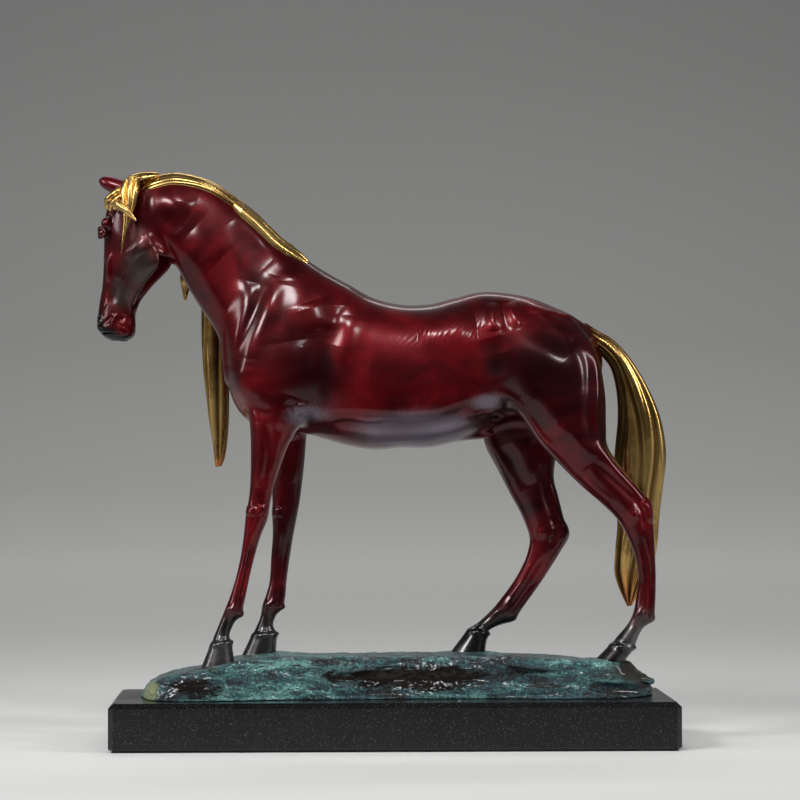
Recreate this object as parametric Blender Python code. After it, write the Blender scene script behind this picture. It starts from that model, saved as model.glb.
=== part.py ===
"""Bronze horse on a rock, bolted to a black granite plinth.

The frame: origin on the table under the middle of the plinth, +Z up, the horse faces -X and its
near (left) side is -Y. The horse is a set of bronze castings that meet at flat section cuts. Its
outline tables are in millimetres. Each row of a table is one oval section of a casting:
(front or top x, z, back or bottom x, z, middle y, half width).
"""

import math

import bmesh
import bpy
import numpy as np
from mathutils import Matrix, Vector

MM = 0.001
GAP = 0.3
WALL = 5.0

PLINTH_LENGTH = 340.0
PLINTH_WIDTH = 120.0
PLINTH_TOP = 29.0
PLINTH_CHAMFER = 3.0
FELT_THICKNESS = 1.0
FELT_INSET = 2.0

ROCK_BASE = PLINTH_TOP + GAP
ROCK_WALL = 5.0
SEAT_CLEARANCE = 1.0

BODY_SIDES = 16
LIMB_SIDES = 12
HAIR_SIDES = 12
TRESS_SIDES = 16
TAIL_SIDES = 24
TRESS_GROOVE = 1.0
TAIL_GROOVE = 1.3
MANE_STANDOFF = 0.9
ROUND_SIDES = 16

STUD_RADIUS = 2.0
STUD_ABOVE_SEAT = 7.0
STUD_LENGTH = 22.0
BOSS_DEPTH = 9.5
STUD_BOSS_RADIUS = 6.5
WASHER_RADIUS = 4.5
WASHER_HEIGHT = 0.8
SPOT_FACE_RADIUS = 5.2
NUT_FLATS = 7.0
NUT_HEIGHT = 3.2

BOLT_PLACES = (-104.0, 0.0, 108.0)
BOLT_RADIUS = 3.0
BOLT_TOP = 39.0
BOLT_HEAD_RADIUS = 5.0
BOLT_HEAD_HEIGHT = 6.0
BOLT_BOSS_RADIUS = 8.0
BOLT_WASHER_RADIUS = 6.0
BOLT_WASHER_HEIGHT = 1.2
COUNTERBORE_RADIUS = 8.0
COUNTERBORE_TOP = 10.3
HEX_SOCKET_FLATS = 5.0
HEX_SOCKET_DEPTH = 3.0

HEAD_PIVOT = (-150.0, 5.0)
HEAD_YAW = math.radians(-32.0)

# Section cuts between the castings: a point (x, z) and the normal (x, z) that points outwards,
# away from the torso.
HEAD_CUT = ((-138.5, 316.5), (-0.962, -0.272))
NECK_CUT = ((-79.5, 259.5), (-0.867, 0.497))
FORE_CUT = ((-70.0, 190.5), (-0.316, -0.949))
NEAR_HIND_CUT = ((118.0, 172.0), (0.6, -0.8))
OFF_HIND_CUT = ((78.0, 176.0), (0.3, -0.954))

TORSO = (
    (-101, 238, -100, 222, 0, 5),
    (-98, 256, -95, 209, 0, 14.5),
    (-88, 268, -88, 201, 0, 21),
    (-74, 280, -74, 196.5, 0, 25.5),
    (-57, 286, -57, 190, 0, 28.5),
    (-43, 286.5, -42, 185.5, 0, 30.5),
    (-28, 278.8, -28, 181.5, 0, 32.5),
    (-12, 271.5, -12, 178.8, 0, 34),
    (5, 267.3, 5, 180, 0, 34.5),
    (22, 267.5, 22, 180, 0, 34),
    (38, 271.3, 38, 183.5, 0, 33),
    (54, 275.0, 54, 190.5, 0, 31.5),
    (70, 274.3, 72, 199, 0, 30),
    (86, 271, 92, 199, 0, 27),
    (102, 264.2, 110, 202, 0, 22),
    (115, 257.4, 121, 208, 0, 15),
    (123, 251, 126, 217, 0, 9),
    (127, 244, 128.5, 230, 0, 3.5),
)

NECK = (
    (-161, 329, -152, 301, 5.5, 8),
    (-151, 339.5, -141, 300, 5, 10),
    (-137, 344.7, -132.5, 291.5, 4, 12.5),
    (-123, 343.6, -126, 280, 3.2, 13.5),
    (-109, 338.8, -118.5, 267.5, 2.5, 14.5),
    (-96, 330.3, -110.5, 255.5, 1.8, 16),
    (-83, 320.5, -103.5, 241.5, 1, 18),
    (-69.5, 307, -100.5, 226, 0.5, 20.5),
    (-56, 296.5, -97, 212, 0, 23),
    (-44, 288, -90, 203, 0, 25),
)

# The head before it is turned: it faces straight along -X, with x measured from its turning axis.
HEAD = (
    (-12, 343, 4, 340, 0, 5),
    (-19.5, 338, 5, 333, 0, 8.5),
    (-26.5, 329, 7, 322, 0, 12),
    (-29.3, 318, 11, 309, 0, 14.3),
    (-29.8, 308, 15.5, 298, 0, 14.3),
    (-30.4, 298, 16.5, 291, 0, 13.2),
    (-31.2, 288, 11.8, 285, 0, 11.6),
    (-32.3, 278, 3.2, 278, 0, 10),
    (-34.0, 269, -5.5, 270, 0, 8.8),
    (-35.4, 261, -9.6, 262, 0, 8.6),
    (-35.2, 254, -9.9, 254, 0, 8.8),
    (-30.6, 248.3, -11.4, 248.3, 0, 7.6),
    (-25.5, 245.6, -15.5, 245.6, 0, 4.6),
)

EAR_NEAR = (
    (-11, 333, -6, 341, -7.6, 3.2),
    (-17, 335.3, -14, 344, -9, 4.3),
    (-24, 340.2, -21.6, 346.6, -10.5, 3.4),
    (-29.5, 344.4, -28.4, 347.2, -11.5, 1.2),
)

EAR_OFF = (
    (-12, 334, -4, 336, 7.4, 3.2),
    (-12, 341, -3.5, 341.5, 9.5, 4.2),
    (-9, 346, -2.5, 345.4, 11.5, 3.2),
    (-5.5, 349, -3, 348.2, 13, 1.2),
)

# The front limbs start inside the shoulder, the hind ones inside the croup. The last two rows of
# each are the hoof's wall and its flat sole.
FORE_TOP = (
    (-68, 276, -58, 277, 11, 3.5),
    (-85, 262, -47, 258, 19, 10),
    (-92, 238, -48, 232, 19.5, 12),
)

NEAR_FORE = (
    (-92, 218, -51, 212, 19.5, 13),
    (-88, 203, -54.5, 197, 19.5, 12.5),
    (-86.5, 190, -61, 187, 19.5, 11),
    (-86.2, 176, -67, 173, 19.5, 9.5),
    (-86.5, 160, -72, 158, 19.5, 8),
    (-87.5, 149, -74.5, 147, 19.5, 7.2),
    (-89.3, 139, -76.2, 137, 19.5, 7),
    (-90.3, 129, -80.2, 127, 19.5, 6.3),
    (-92, 116, -84.5, 114, 19.5, 4.9),
    (-95.2, 101, -88, 99, 19.5, 4.7),
    (-98.5, 91, -90, 88.5, 19.5, 5),
    (-101.5, 83.5, -91.7, 80.5, 19.5, 5.8),
    (-104.5, 76, -96.3, 74.3, 19.5, 5),
    (-108, 67.5, -99, 67.5, 19.5, 5.3),
    (-110.6, 61.5, -98, 63, 19.5, 7),
    (-116.3, 47.3, -96, 50.9, 19.5, 8.8),
)

OFF_FORE = (
    (-91, 218, -49, 212, 19.5, 13),
    (-86, 203, -50, 197, 19.5, 12.5),
    (-81, 190, -52.5, 187, 19.5, 11),
    (-77, 176, -53.7, 174, 19.5, 9.5),
    (-74.5, 160, -55.2, 159, 19.5, 8),
    (-73.6, 148, -56.7, 147, 19.5, 7.2),
    (-73.6, 137.5, -58.7, 136, 19.5, 7),
    (-73.4, 126, -60.8, 125, 19.5, 6.3),
    (-74.3, 113, -63, 112, 19.5, 4.9),
    (-75.2, 98.5, -64.8, 98.5, 19.5, 4.7),
    (-77.3, 90, -65.6, 88.5, 19.5, 5),
    (-79.6, 83.5, -67, 82.5, 19.5, 5.8),
    (-81, 76, -71.4, 76.3, 19.5, 5),
    (-83.5, 69.8, -73, 70.5, 19.5, 5.3),
    (-86.2, 65, -70.8, 65.5, 19.5, 7),
    (-92.6, 51.9, -71.4, 54.1, 19.5, 8.8),
)

NEAR_HIND = (
    (74, 263, 106, 259, 9, 4.5),
    (66, 240, 122, 238, 18, 15),
    (69, 220, 128, 214, 19, 16.5),
    (76, 203, 128.7, 193, 19.5, 15.5),
    (88, 184, 129.5, 181, 19.5, 13),
    (100, 170.5, 136, 170, 19.5, 10.5),
    (113, 157.5, 143, 161, 19.5, 9),
    (125, 147, 150, 153, 19.5, 8.4),
    (135.5, 136.5, 155.8, 146.5, 19.5, 8),
    (141, 127, 157.4, 132, 19.5, 7),
    (146, 114, 158.2, 116, 19.5, 6),
    (148, 101, 158.7, 101, 19.5, 5.3),
    (146.8, 89.5, 158.5, 88, 19.5, 5.3),
    (145, 80, 157, 77, 19.5, 6.2),
    (141.5, 73, 150.5, 70, 19.5, 5.3),
    (136, 66.5, 147.3, 63.5, 19.5, 6.2),
    (131, 61, 145.5, 58.5, 19.5, 7.2),
    (122, 51.9, 139.5, 50.3, 19.5, 8.8),
)

OFF_HIND = (
    (72, 263, 106, 259, 9, 4.5),
    (62, 240, 122, 238, 18, 15),
    (58.5, 220, 124, 214, 19, 16.5),
    (56.5, 200, 116, 193, 19.5, 15),
    (58, 182, 104, 180, 19.5, 12.5),
    (66, 166, 99.4, 163, 19.5, 10.5),
    (72.5, 152.5, 102, 150.5, 19.5, 9),
    (80, 138.5, 105.4, 138, 19.5, 8.4),
    (84.9, 125, 109.4, 126.5, 19.5, 8),
    (83.9, 115.7, 104, 115.5, 19.5, 7),
    (80.5, 107, 95, 101.5, 19.5, 6),
    (75.5, 98, 88, 91.5, 19.5, 5.3),
    (69, 89, 81, 81.5, 19.5, 5.3),
    (62, 80.5, 75.5, 74.7, 19.5, 6.2),
    (53.5, 72.5, 62, 68.5, 19.5, 5.3),
    (47, 68, 59.5, 65, 19.5, 7),
    (36, 53.9, 57.4, 53.9, 19.5, 8.8),
)

TAIL = (
    (118, 256.5, 113, 246, 0, 4.5),
    (126, 251.5, 121, 241, 0, 6.5),
    (135, 246.4, 127, 236.5, 0.5, 8),
    (144, 237.4, 133, 229, 1, 9.5),
    (152, 226, 136, 219, 2, 10.5),
    (159, 213, 137.5, 207, 3, 11),
    (164.6, 199, 137.5, 195, 3, 11),
    (168, 182, 136, 180, 3, 11),
    (168.4, 168, 135, 167, 3, 11),
    (165.8, 152, 134.5, 150, 3, 10.5),
    (163.7, 136, 137, 134, 3, 10),
    (162.6, 122, 135.8, 118, 3, 9),
    (160, 108, 135.3, 104, 3, 7.5),
    (154, 95, 138.5, 93, 3, 5.5),
    (146.5, 83, 143.5, 82.5, 3, 2),
)

TRESS = (
    (-117, 291, -105, 293, 25, 2),
    (-117.5, 277, -103.5, 277, 24.5, 3.6),
    (-117.5, 262, -102.5, 262, 24, 4.4),
    (-117.3, 245, -100.5, 245, 24, 4.8),
    (-116.3, 228, -99.8, 228, 24, 5),
    (-114.6, 212, -99.6, 212, 24, 5),
    (-113, 197, -100, 197, 24, 4.8),
    (-111, 185, -101, 184, 24, 4.5),
    (-109.6, 174, -102.5, 174, 24, 4),
    (-108.8, 168, -104.6, 168.6, 24, 2.6),
)

# The mane wraps the crest of the neck: neck row, then the angles, in degrees from the crest, of
# its edges on the near and off side, and its thickness.
MANE = (
    (1.6, -38, 62, 3.6),
    (2, -34, 80, 3.6),
    (3, -32, 104, 4),
    (4, -30, 116, 4.2),
    (5, -30, 118, 4.2),
    (6, -30, 104, 4),
    (7, -30, 76, 3.6),
    (7.8, -28, 44, 3.2),
    (8.6, -20, 24, 2),
)
# The mane's pointed lock that shows below the jaw.
MANE_LOCK = (
    (-124, 302, -110, 299, 16, 3),
    (-130, 288, -120, 286, 17, 3),
    (-129.6, 279, -124, 278, 18.5, 2.4),
    (-127.9, 270.6, -126.5, 270.3, 19, 1),
)

# The forelock's three locks, laid over the front of the head.
POLL_LOCK = (
    (-143, 344.2, -144, 348.8, 3, 3),
    (-149, 341, -149.5, 349.2, 2, 6.5),
    (-156, 338, -157, 347.2, 0, 8),
    (-162, 333.5, -163.8, 343.5, -3, 8),
    (-166, 330, -170, 336.5, -5, 5),
)
FALLING_LOCK = (
    (-156, 341.5, -165, 342.5, -10, 4.5),
    (-157.5, 331, -167.5, 331.5, -12, 4),
    (-159.8, 320, -166.8, 320, -13, 3.6),
    (-162, 309, -166.5, 309, -13, 3.2),
    (-164, 298.5, -165.2, 298.5, -13, 2.2),
)
CROSSING_LOCK = (
    (-174.5, 325.5, -174.5, 330.5, 2, 4),
    (-167, 325, -166.5, 331, -8, 3.8),
    (-160.5, 320.5, -158.5, 325.5, -13.5, 3.4),
    (-155.4, 317.2, -154.6, 318.8, -14.5, 2),
)

# The rock's foot outline, as (x, y) points of a closed smooth curve, and its height along x.
ROCK_FOOT = (
    (-153, 0), (-150, -32), (-132, -45), (-98, -43), (-45, -35), (15, -32), (75, -34), (118, -36),
    (143, -31), (159.5, -6), (157, 18), (130, 35), (75, 39), (10, 37), (-60, 40), (-118, 43),
    (-146, 30),
)
ROCK_HEIGHT = (
    (-156, 36), (-146, 40.5), (-134, 44), (-118, 47), (-104, 50), (-92, 53), (-72, 54.8),
    (-40, 54.2), (0, 54.2), (45, 55), (80, 53.4), (104, 52), (124, 52.3), (138, 50.6),
    (150, 46.5), (162, 42),
)
ROCK_SPOKES = 44
# Rings of the rock, from its middle to its foot: their share of the foot outline's reach, and how
# far down the side they lie.
ROCK_RINGS = ((0.35, 0.0), (0.65, 0.0), (0.85, 0.02), (0.935, 0.08), (0.97, 0.3), (0.985, 0.62),
              (1.0, 1.0))


def clear_scene():
    for thing in list(bpy.data.objects):
        bpy.data.objects.remove(thing, do_unlink=True)


def material(name, colour, roughness, metallic):
    made = bpy.data.materials.new(name)
    made.use_nodes = True
    shader = made.node_tree.nodes["Principled BSDF"]
    shader.inputs["Base Color"].default_value = (*colour, 1.0)
    shader.inputs["Roughness"].default_value = roughness
    shader.inputs["Metallic"].default_value = metallic
    return made


def as_object(name, shape, finish=None):
    """A bmesh in millimetres becomes an object in metres, shaded smooth with sharp edges kept."""
    bmesh.ops.scale(shape, vec=(MM, MM, MM), verts=shape.verts)
    bmesh.ops.recalc_face_normals(shape, faces=shape.faces)
    mesh = bpy.data.meshes.new(name)
    shape.to_mesh(mesh)
    shape.free()
    mesh.shade_smooth()
    mesh.set_sharp_from_angle(angle=math.radians(35))
    if finish is not None:
        mesh.materials.append(finish)
    made = bpy.data.objects.new(name, mesh)
    bpy.context.scene.collection.objects.link(made)
    return made


def refined(rows, steps):
    """The rows with a smooth curve's extra rows between them."""
    rows = np.array(rows, float)
    padded = np.vstack([2 * rows[0] - rows[1], rows, 2 * rows[-1] - rows[-2]])
    result = []
    for index in range(1, len(padded) - 2):
        before, start, end, after = padded[index - 1:index + 3]
        for step in range(steps):
            t = step / steps
            slope = (end - before) * t
            bend = (2 * before - 5 * start + 4 * end - after) * t * t
            twist = (3 * start - before - 3 * end + after) * t ** 3
            result.append(0.5 * (2 * start + slope + bend + twist))
    result.append(rows[-1])
    return result


def mirrored(rows, side):
    """The rows of a limb with its middle moved to the near (-1) or off (+1) side."""
    return [(*row[:4], side * row[4], row[5]) for row in rows]


def oval_point(row, angle, grow):
    """A point of a row's oval. Angle 0 is its front or top end, and 90 degrees its off side."""
    front = Vector((row[0], row[4], row[1]))
    back = Vector((row[2], row[4], row[3]))
    middle = (front + back) / 2
    reach = (front - back) / 2
    outward = reach.normalized() * (reach.length + grow)
    across = Vector((0, row[5] + grow, 0))
    return middle + outward * math.cos(angle) + across * math.sin(angle)


def skin_rings(rings):
    """A closed solid through rings of points, with flat ends."""
    shape = bmesh.new()
    loops = [[shape.verts.new(point) for point in ring] for ring in rings]
    for lower, upper in zip(loops, loops[1:]):
        count = len(lower)
        for index in range(count):
            after = (index + 1) % count
            shape.faces.new((lower[index], lower[after], upper[after], upper[index]))
    shape.faces.new(reversed(loops[0]))
    shape.faces.new(loops[-1])
    return shape


def loft(name, rows, sides, steps=2, grow=0.0, finish=None):
    rings = []
    for row in refined(rows, steps):
        rings.append([oval_point(row, math.tau * index / sides, grow) for index in range(sides)])
    return as_object(name, skin_rings(rings), finish)


def grooved_loft(name, rows, sides, groove, finish):
    """A lock of hair: every other line along it lies deeper, and less so where it is thin."""
    rings = []
    for row in refined(rows, 2):
        depth = groove * min(1.0, row[5] / 10)
        rings.append([
            oval_point(row, math.tau * index / sides, -depth * (index % 2))
            for index in range(sides)
        ])
    return as_object(name, skin_rings(rings), finish)


def cylinder(name, x, y, low, high, radius, sides=ROUND_SIDES, finish=None):
    turn = math.pi / sides
    rings = []
    for level in (low, high):
        rings.append([
            Vector((x + radius * math.cos(turn + math.tau * index / sides),
                    y + radius * math.sin(turn + math.tau * index / sides), level))
            for index in range(sides)
        ])
    return as_object(name, skin_rings(rings), finish)


def hexagon(name, x, y, low, high, flats, finish=None):
    return cylinder(name, x, y, low, high, flats / math.sqrt(3), 6, finish)


def combined(target, tool, operation):
    """The target after a Boolean with the tool. The tool goes away."""
    change = target.modifiers.new("shape", "BOOLEAN")
    change.operation = operation
    change.solver = "EXACT"
    change.object = tool
    bpy.context.view_layer.update()
    graph = bpy.context.evaluated_depsgraph_get()
    result = bpy.data.meshes.new_from_object(target.evaluated_get(graph))
    target.modifiers.clear()
    target.data = result
    bpy.data.objects.remove(tool, do_unlink=True)
    return target


def joined(target, *tools):
    for tool in tools:
        combined(target, tool, "UNION")
    return target


def cut(target, *tools):
    for tool in tools:
        combined(target, tool, "DIFFERENCE")
    return target


def block_beyond(plane, sign, size=400.0):
    """A large block on one side of a section cut, half a gap beyond it: +1 is the outer side."""
    (x, z), (normal_x, normal_z) = plane
    normal = Vector((normal_x, 0, normal_z)).normalized() * sign
    along = Vector((normal.z, 0, -normal.x))
    start = Vector((x, 0, z)) - normal * (GAP / 2)
    rings = []
    for distance in (0.0, size):
        centre = start + normal * distance
        rings.append([
            centre + along * size / 2 * u + Vector((0, size / 4 * v, 0))
            for u, v in ((-1, -1), (1, -1), (1, 1), (-1, 1))
        ])
    return as_object("block", skin_rings(rings))


def outer_part(target, plane):
    """What lies outwards of the cut, half a gap clear of it."""
    return cut(target, block_beyond(plane, -1))


def inner_part(target, plane):
    return cut(target, block_beyond(plane, +1))


def limb_rows(name):
    top, side = {
        "near_fore": (NEAR_FORE, -1),
        "off_fore": (OFF_FORE, 1),
        "near_hind": (NEAR_HIND, -1),
        "off_hind": (OFF_HIND, 1),
    }[name]
    rows = (*FORE_TOP, *top) if name.endswith("fore") else top
    return mirrored(rows, side)


def limb_cut(name):
    if name.endswith("fore"):
        return FORE_CUT
    return NEAR_HIND_CUT if name == "near_hind" else OFF_HIND_CUT


def limb(name, grow=0.0, finish=None):
    """A whole limb, from inside the body down to the sole. The hoof keeps straight walls."""
    rows = limb_rows(name)
    rings = []
    for row in refined(rows[:-1], 2) + [rows[-1]]:
        rings.append([
            oval_point(row, math.tau * index / LIMB_SIDES, grow) for index in range(LIMB_SIDES)
        ])
    return as_object(name, skin_rings(rings), finish)


LIMBS = ("near_fore", "off_fore", "near_hind", "off_hind")


def sole_centre(name):
    """(x, y, z, slope) of a limb's sole: its middle and its rise along x."""
    front_x, front_z, back_x, back_z, y, _ = limb_rows(name)[-1]
    slope = (back_z - front_z) / (back_x - front_x)
    return (front_x + back_x) / 2, y, (front_z + back_z) / 2, slope


def body_core():
    """The hollow inside the torso and the neck, open across the neck's section cut."""
    torso_core = loft("core", TORSO[2:-3], 14, steps=1, grow=-WALL)
    neck_core = loft("neck_core", NECK[3:-1], 12, steps=1, grow=-WALL)
    return joined(torso_core, neck_core)


def build_torso(bronze):
    torso = loft("torso", TORSO, BODY_SIDES, finish=bronze)
    joined(torso, inner_part(loft("root", NECK[4:], BODY_SIDES), NECK_CUT))
    for name in LIMBS:
        joined(torso, inner_part(limb(name), limb_cut(name)))
    inner_part(torso, NECK_CUT)
    return cut(torso, body_core())


def build_neck(bronze):
    neck = loft("neck", NECK, BODY_SIDES, finish=bronze)
    outer_part(neck, NECK_CUT)
    inner_part(neck, HEAD_CUT)
    return cut(neck, body_core())


def turned_with_head(thing):
    """Turns a piece modelled straight ahead about the head's upright axis."""
    place = Matrix.Translation((HEAD_PIVOT[0] * MM, HEAD_PIVOT[1] * MM, 0))
    thing.data.transform(place @ Matrix.Rotation(HEAD_YAW, 4, "Z"))
    return thing


def head_solids(grow=0.0, finish=None):
    """The turned head, and the short end of the neck that is cast with it."""
    head = turned_with_head(loft("head", HEAD, BODY_SIDES, grow=grow, finish=finish))
    throat = outer_part(loft("throat", NECK[:5], BODY_SIDES, grow=grow), HEAD_CUT)
    return head, throat


def build_head(bronze):
    return joined(*head_solids(finish=bronze))


def build_ear(name, rows, bronze):
    ear = turned_with_head(loft(name, rows, 8, finish=bronze))
    return cut(ear, *head_solids(GAP))


def build_leg(name, bronze):
    leg = limb(name, finish=bronze)
    leg.name = name + "_leg"
    outer_part(leg, limb_cut(name))
    x, y, z, _ = sole_centre(name)
    hole_top = z + STUD_ABOVE_SEAT + 2 * GAP
    return cut(leg, cylinder("hole", x, y, z - 10, hole_top, STUD_RADIUS + GAP))


def neck_row(place):
    """A row of the neck between its listed ones."""
    steps = 10
    return refined(NECK, steps)[round(place * steps)]


def build_mane(gold, grow=0.0):
    """A hooked section round the crest, with its longer side hanging on the off side."""
    columns = 9
    rings = []
    for place, near_edge, off_edge, thick in refined(MANE, 2):
        row = neck_row(place)
        angles = [
            math.radians(near_edge + (off_edge - near_edge) * index / (columns - 1))
            for index in range(columns)
        ]
        outer = [oval_point(row, angle, GAP + thick + grow) for angle in angles]
        inner = [oval_point(row, angle, MANE_STANDOFF - grow) for angle in reversed(angles)]
        rings.append(outer + inner)
    mane = as_object("mane", skin_rings(rings), gold)
    joined(mane, loft("mane_lock", MANE_LOCK, 8, grow=grow))
    cut(mane, loft("neck_reach", NECK, BODY_SIDES, grow=GAP), *head_solids(GAP))
    return cut(mane, loft("torso_reach", TORSO[:8], BODY_SIDES, grow=GAP))


def build_forelock(gold):
    lock = loft("forelock", POLL_LOCK, HAIR_SIDES, finish=gold)
    joined(lock, loft("falling", FALLING_LOCK, HAIR_SIDES))
    joined(lock, loft("crossing", CROSSING_LOCK, HAIR_SIDES))
    cut(lock, *head_solids(GAP), build_mane(None, GAP))
    for name, rows in (("near", EAR_NEAR), ("off", EAR_OFF)):
        cut(lock, turned_with_head(loft(name, rows, 8, grow=GAP)))
    return lock


def build_tail(gold):
    tail = grooved_loft("tail", TAIL, TAIL_SIDES, TAIL_GROOVE, gold)
    return cut(tail, loft("torso_reach", TORSO[10:], BODY_SIDES, grow=GAP))


def rock_foot(angle_step):
    """A point of the foot outline, by its place along the closed smooth curve, from 0 to 1."""
    points = np.array(ROCK_FOOT, float)
    count = len(points)
    place = (angle_step % 1.0) * count
    index = int(place)
    t = place - index
    before, start, end, after = (points[(index + shift) % count] for shift in (-1, 0, 1, 2))
    bend = (2 * before - 5 * start + 4 * end - after) * t * t
    twist = (3 * start - before - 3 * end + after) * t ** 3
    return 0.5 * (2 * start + (end - before) * t + bend + twist)


def rock_height(x, y):
    places, heights = np.array(ROCK_HEIGHT).T
    ripple = 0.5 * math.sin(x / 17.0 + y / 9.0)
    return float(np.interp(x, places, heights)) - 0.018 * y + ripple


def rock_solid(name, inset, drop, foot_level, finish=None):
    """The rock's outline: a top that follows rock_height and craggy sides down to its foot."""
    centre = Vector((2.0, 0.0))
    rings = []
    for step, fall in reversed(ROCK_RINGS):
        ring = []
        for spoke in range(ROCK_SPOKES):
            edge = Vector(rock_foot(spoke / ROCK_SPOKES)) - centre
            edge *= 1 - inset / edge.length
            point = centre + edge * step
            top = rock_height(point.x, point.y) - drop
            ring.append(Vector((point.x, point.y, top + (foot_level - top) * fall)))
        rings.append(ring)
    return as_object(name, skin_rings(rings), finish)


def hoof_seat(name):
    """The shallow flat recess that a hoof stands in, as a cutter."""
    row = list(limb_rows(name)[-1])
    low = [oval_point(row, math.tau * i / LIMB_SIDES, SEAT_CLEARANCE) for i in range(LIMB_SIDES)]
    drop = Vector((0, 0, -GAP))
    rise = Vector((0, 0, 20))
    return as_object("seat", skin_rings([[p + drop for p in low], [p + rise for p in low]]))


def stud_seat(name):
    """Level of the flat face under the rock's roof, where a stud's washer bears."""
    return sole_centre(name)[2] - BOSS_DEPTH


def build_rock(patina):
    rock = rock_solid("rock_ground", 0, 0, ROCK_BASE, patina)
    core = rock_solid("core", ROCK_WALL, ROCK_WALL + 1.5, ROCK_BASE - 5)
    for name in LIMBS:
        x, y, _, _ = sole_centre(name)
        cut(core, cylinder("boss", x, y, stud_seat(name), 80, STUD_BOSS_RADIUS))
    for x in BOLT_PLACES:
        cut(core, cylinder("boss", x, 0, 0, 80, BOLT_BOSS_RADIUS))
    cut(rock, core)
    for name in LIMBS:
        x, y, _, _ = sole_centre(name)
        cut(rock, hoof_seat(name), cylinder("hole", x, y, 30, 70, STUD_RADIUS + GAP))
        cut(rock, cylinder("spot_face", x, y, ROCK_BASE - 5, stud_seat(name), SPOT_FACE_RADIUS))
    for x in BOLT_PLACES:
        cut(rock, cylinder("hole", x, 0, 20, BOLT_TOP + GAP, BOLT_RADIUS + GAP))
    return rock


def build_stud_set(name, steel):
    """A hoof's threaded stud, with the washer and nut that hold it under the rock."""
    x, y, sole, _ = sole_centre(name)
    top = sole + STUD_ABOVE_SEAT
    cylinder(name + "_stud", x, y, top - STUD_LENGTH, top, STUD_RADIUS, 16, steel)
    washer_top = stud_seat(name) - GAP
    washer_low = washer_top - WASHER_HEIGHT
    washer = cylinder(name + "_stud_washer", x, y, washer_low, washer_top, WASHER_RADIUS,
                      finish=steel)
    cut(washer, cylinder("hole", x, y, 0, 80, STUD_RADIUS + GAP))
    nut_top = washer_low - GAP
    nut = hexagon(name + "_stud_nut", x, y, nut_top - NUT_HEIGHT, nut_top, NUT_FLATS, steel)
    cut(nut, cylinder("hole", x, y, 0, 80, STUD_RADIUS + GAP))


def build_plinth_bolt(number, x, steel):
    """A socket-head bolt from below the slab into the rock's boss, with its washer."""
    washer_top = COUNTERBORE_TOP - GAP
    washer_low = washer_top - BOLT_WASHER_HEIGHT
    washer = cylinder(f"plinth_bolt_washer_{number}", x, 0, washer_low, washer_top,
                      BOLT_WASHER_RADIUS, finish=steel)
    cut(washer, cylinder("hole", x, 0, 0, 40, BOLT_RADIUS + GAP))
    head_top = washer_low - GAP
    head_low = head_top - BOLT_HEAD_HEIGHT
    bolt = cylinder(f"plinth_bolt_{number}", x, 0, head_low, head_top, BOLT_HEAD_RADIUS,
                    finish=steel)
    joined(bolt, cylinder("shank", x, 0, head_low + 4, BOLT_TOP, BOLT_RADIUS))
    socket = hexagon("socket", x, 0, head_low - 1, head_low + HEX_SOCKET_DEPTH, HEX_SOCKET_FLATS)
    cut(bolt, socket)


def chamfered_slab(name, length, width, low, high, edge, foot_edge, finish):
    """A slab with cut corners, a chamfer round its top edge and a small one round its foot."""
    def outline(inset, level):
        half_x = length / 2 - inset
        half_y = width / 2 - inset
        corner = edge
        points = []
        for sx, sy in ((1, -1), (1, 1), (-1, 1), (-1, -1)):
            first = Vector((sx * half_x, sy * (half_y - corner), level))
            second = Vector((sx * (half_x - corner), sy * half_y, level))
            points += [first, second] if sx * sy > 0 else [second, first]
        return points
    rings = [
        outline(foot_edge, low),
        outline(0, low + foot_edge),
        outline(0, high - edge),
        outline(edge, high),
    ]
    return as_object(name, skin_rings(rings), finish)


def build_plinth(granite):
    slab = chamfered_slab("plinth_slab", PLINTH_LENGTH, PLINTH_WIDTH, FELT_THICKNESS + GAP,
                          PLINTH_TOP, PLINTH_CHAMFER, 1.0, granite)
    for x in BOLT_PLACES:
        cut(slab, cylinder("hole", x, 0, -5, 50, BOLT_RADIUS + GAP))
        cut(slab, cylinder("counterbore", x, 0, -5, COUNTERBORE_TOP, COUNTERBORE_RADIUS))
    return slab


def build_felt(felt):
    return chamfered_slab("felt_sheet", PLINTH_LENGTH - 2 * FELT_INSET,
                          PLINTH_WIDTH - 2 * FELT_INSET, 0, FELT_THICKNESS, 0.3, 0.0, felt)


def main():
    clear_scene()
    red = material("red_patina_bronze", (0.10, 0.006, 0.008), 0.16, 1.0)
    gold = material("gold_bronze", (0.55, 0.36, 0.12), 0.22, 1.0)
    green = material("rock_patina_bronze", (0.05, 0.13, 0.13), 0.4, 0.8)
    granite = material("black_granite", (0.01, 0.01, 0.012), 0.12, 0.0)
    steel = material("zinc_steel", (0.55, 0.56, 0.58), 0.3, 1.0)
    felt = material("black_felt", (0.015, 0.015, 0.018), 0.95, 0.0)

    build_felt(felt)
    build_plinth(granite)
    build_rock(green)
    for number, x in enumerate(BOLT_PLACES, 1):
        build_plinth_bolt(number, x, steel)
    for name in LIMBS:
        build_leg(name, red)
        build_stud_set(name, steel)
    build_torso(red)
    build_neck(red)
    build_head(red)
    build_ear("ear_near", EAR_NEAR, red)
    build_ear("ear_off", EAR_OFF, red)
    build_mane(gold)
    build_forelock(gold)
    grooved_loft("chest_tress", TRESS, TRESS_SIDES, TRESS_GROOVE, gold)
    build_tail(gold)


main()
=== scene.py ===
"""The looks of a patinated bronze horse on a rock and a granite plinth.

The horse is one smooth form, described in millimetres by the same section tables as its castings:
each row is (front or top x, z, back or bottom x, z, middle y, half width). The form is a field, the
signed distance to the surface, that muscles, veins and creases raise or lower. Each casting's
surface is meshed from that field and cut at its section planes, so the welded joints don't show.
"""

import math

import bmesh
import bpy
import numpy as np
from mathutils import Matrix, Vector


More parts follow.
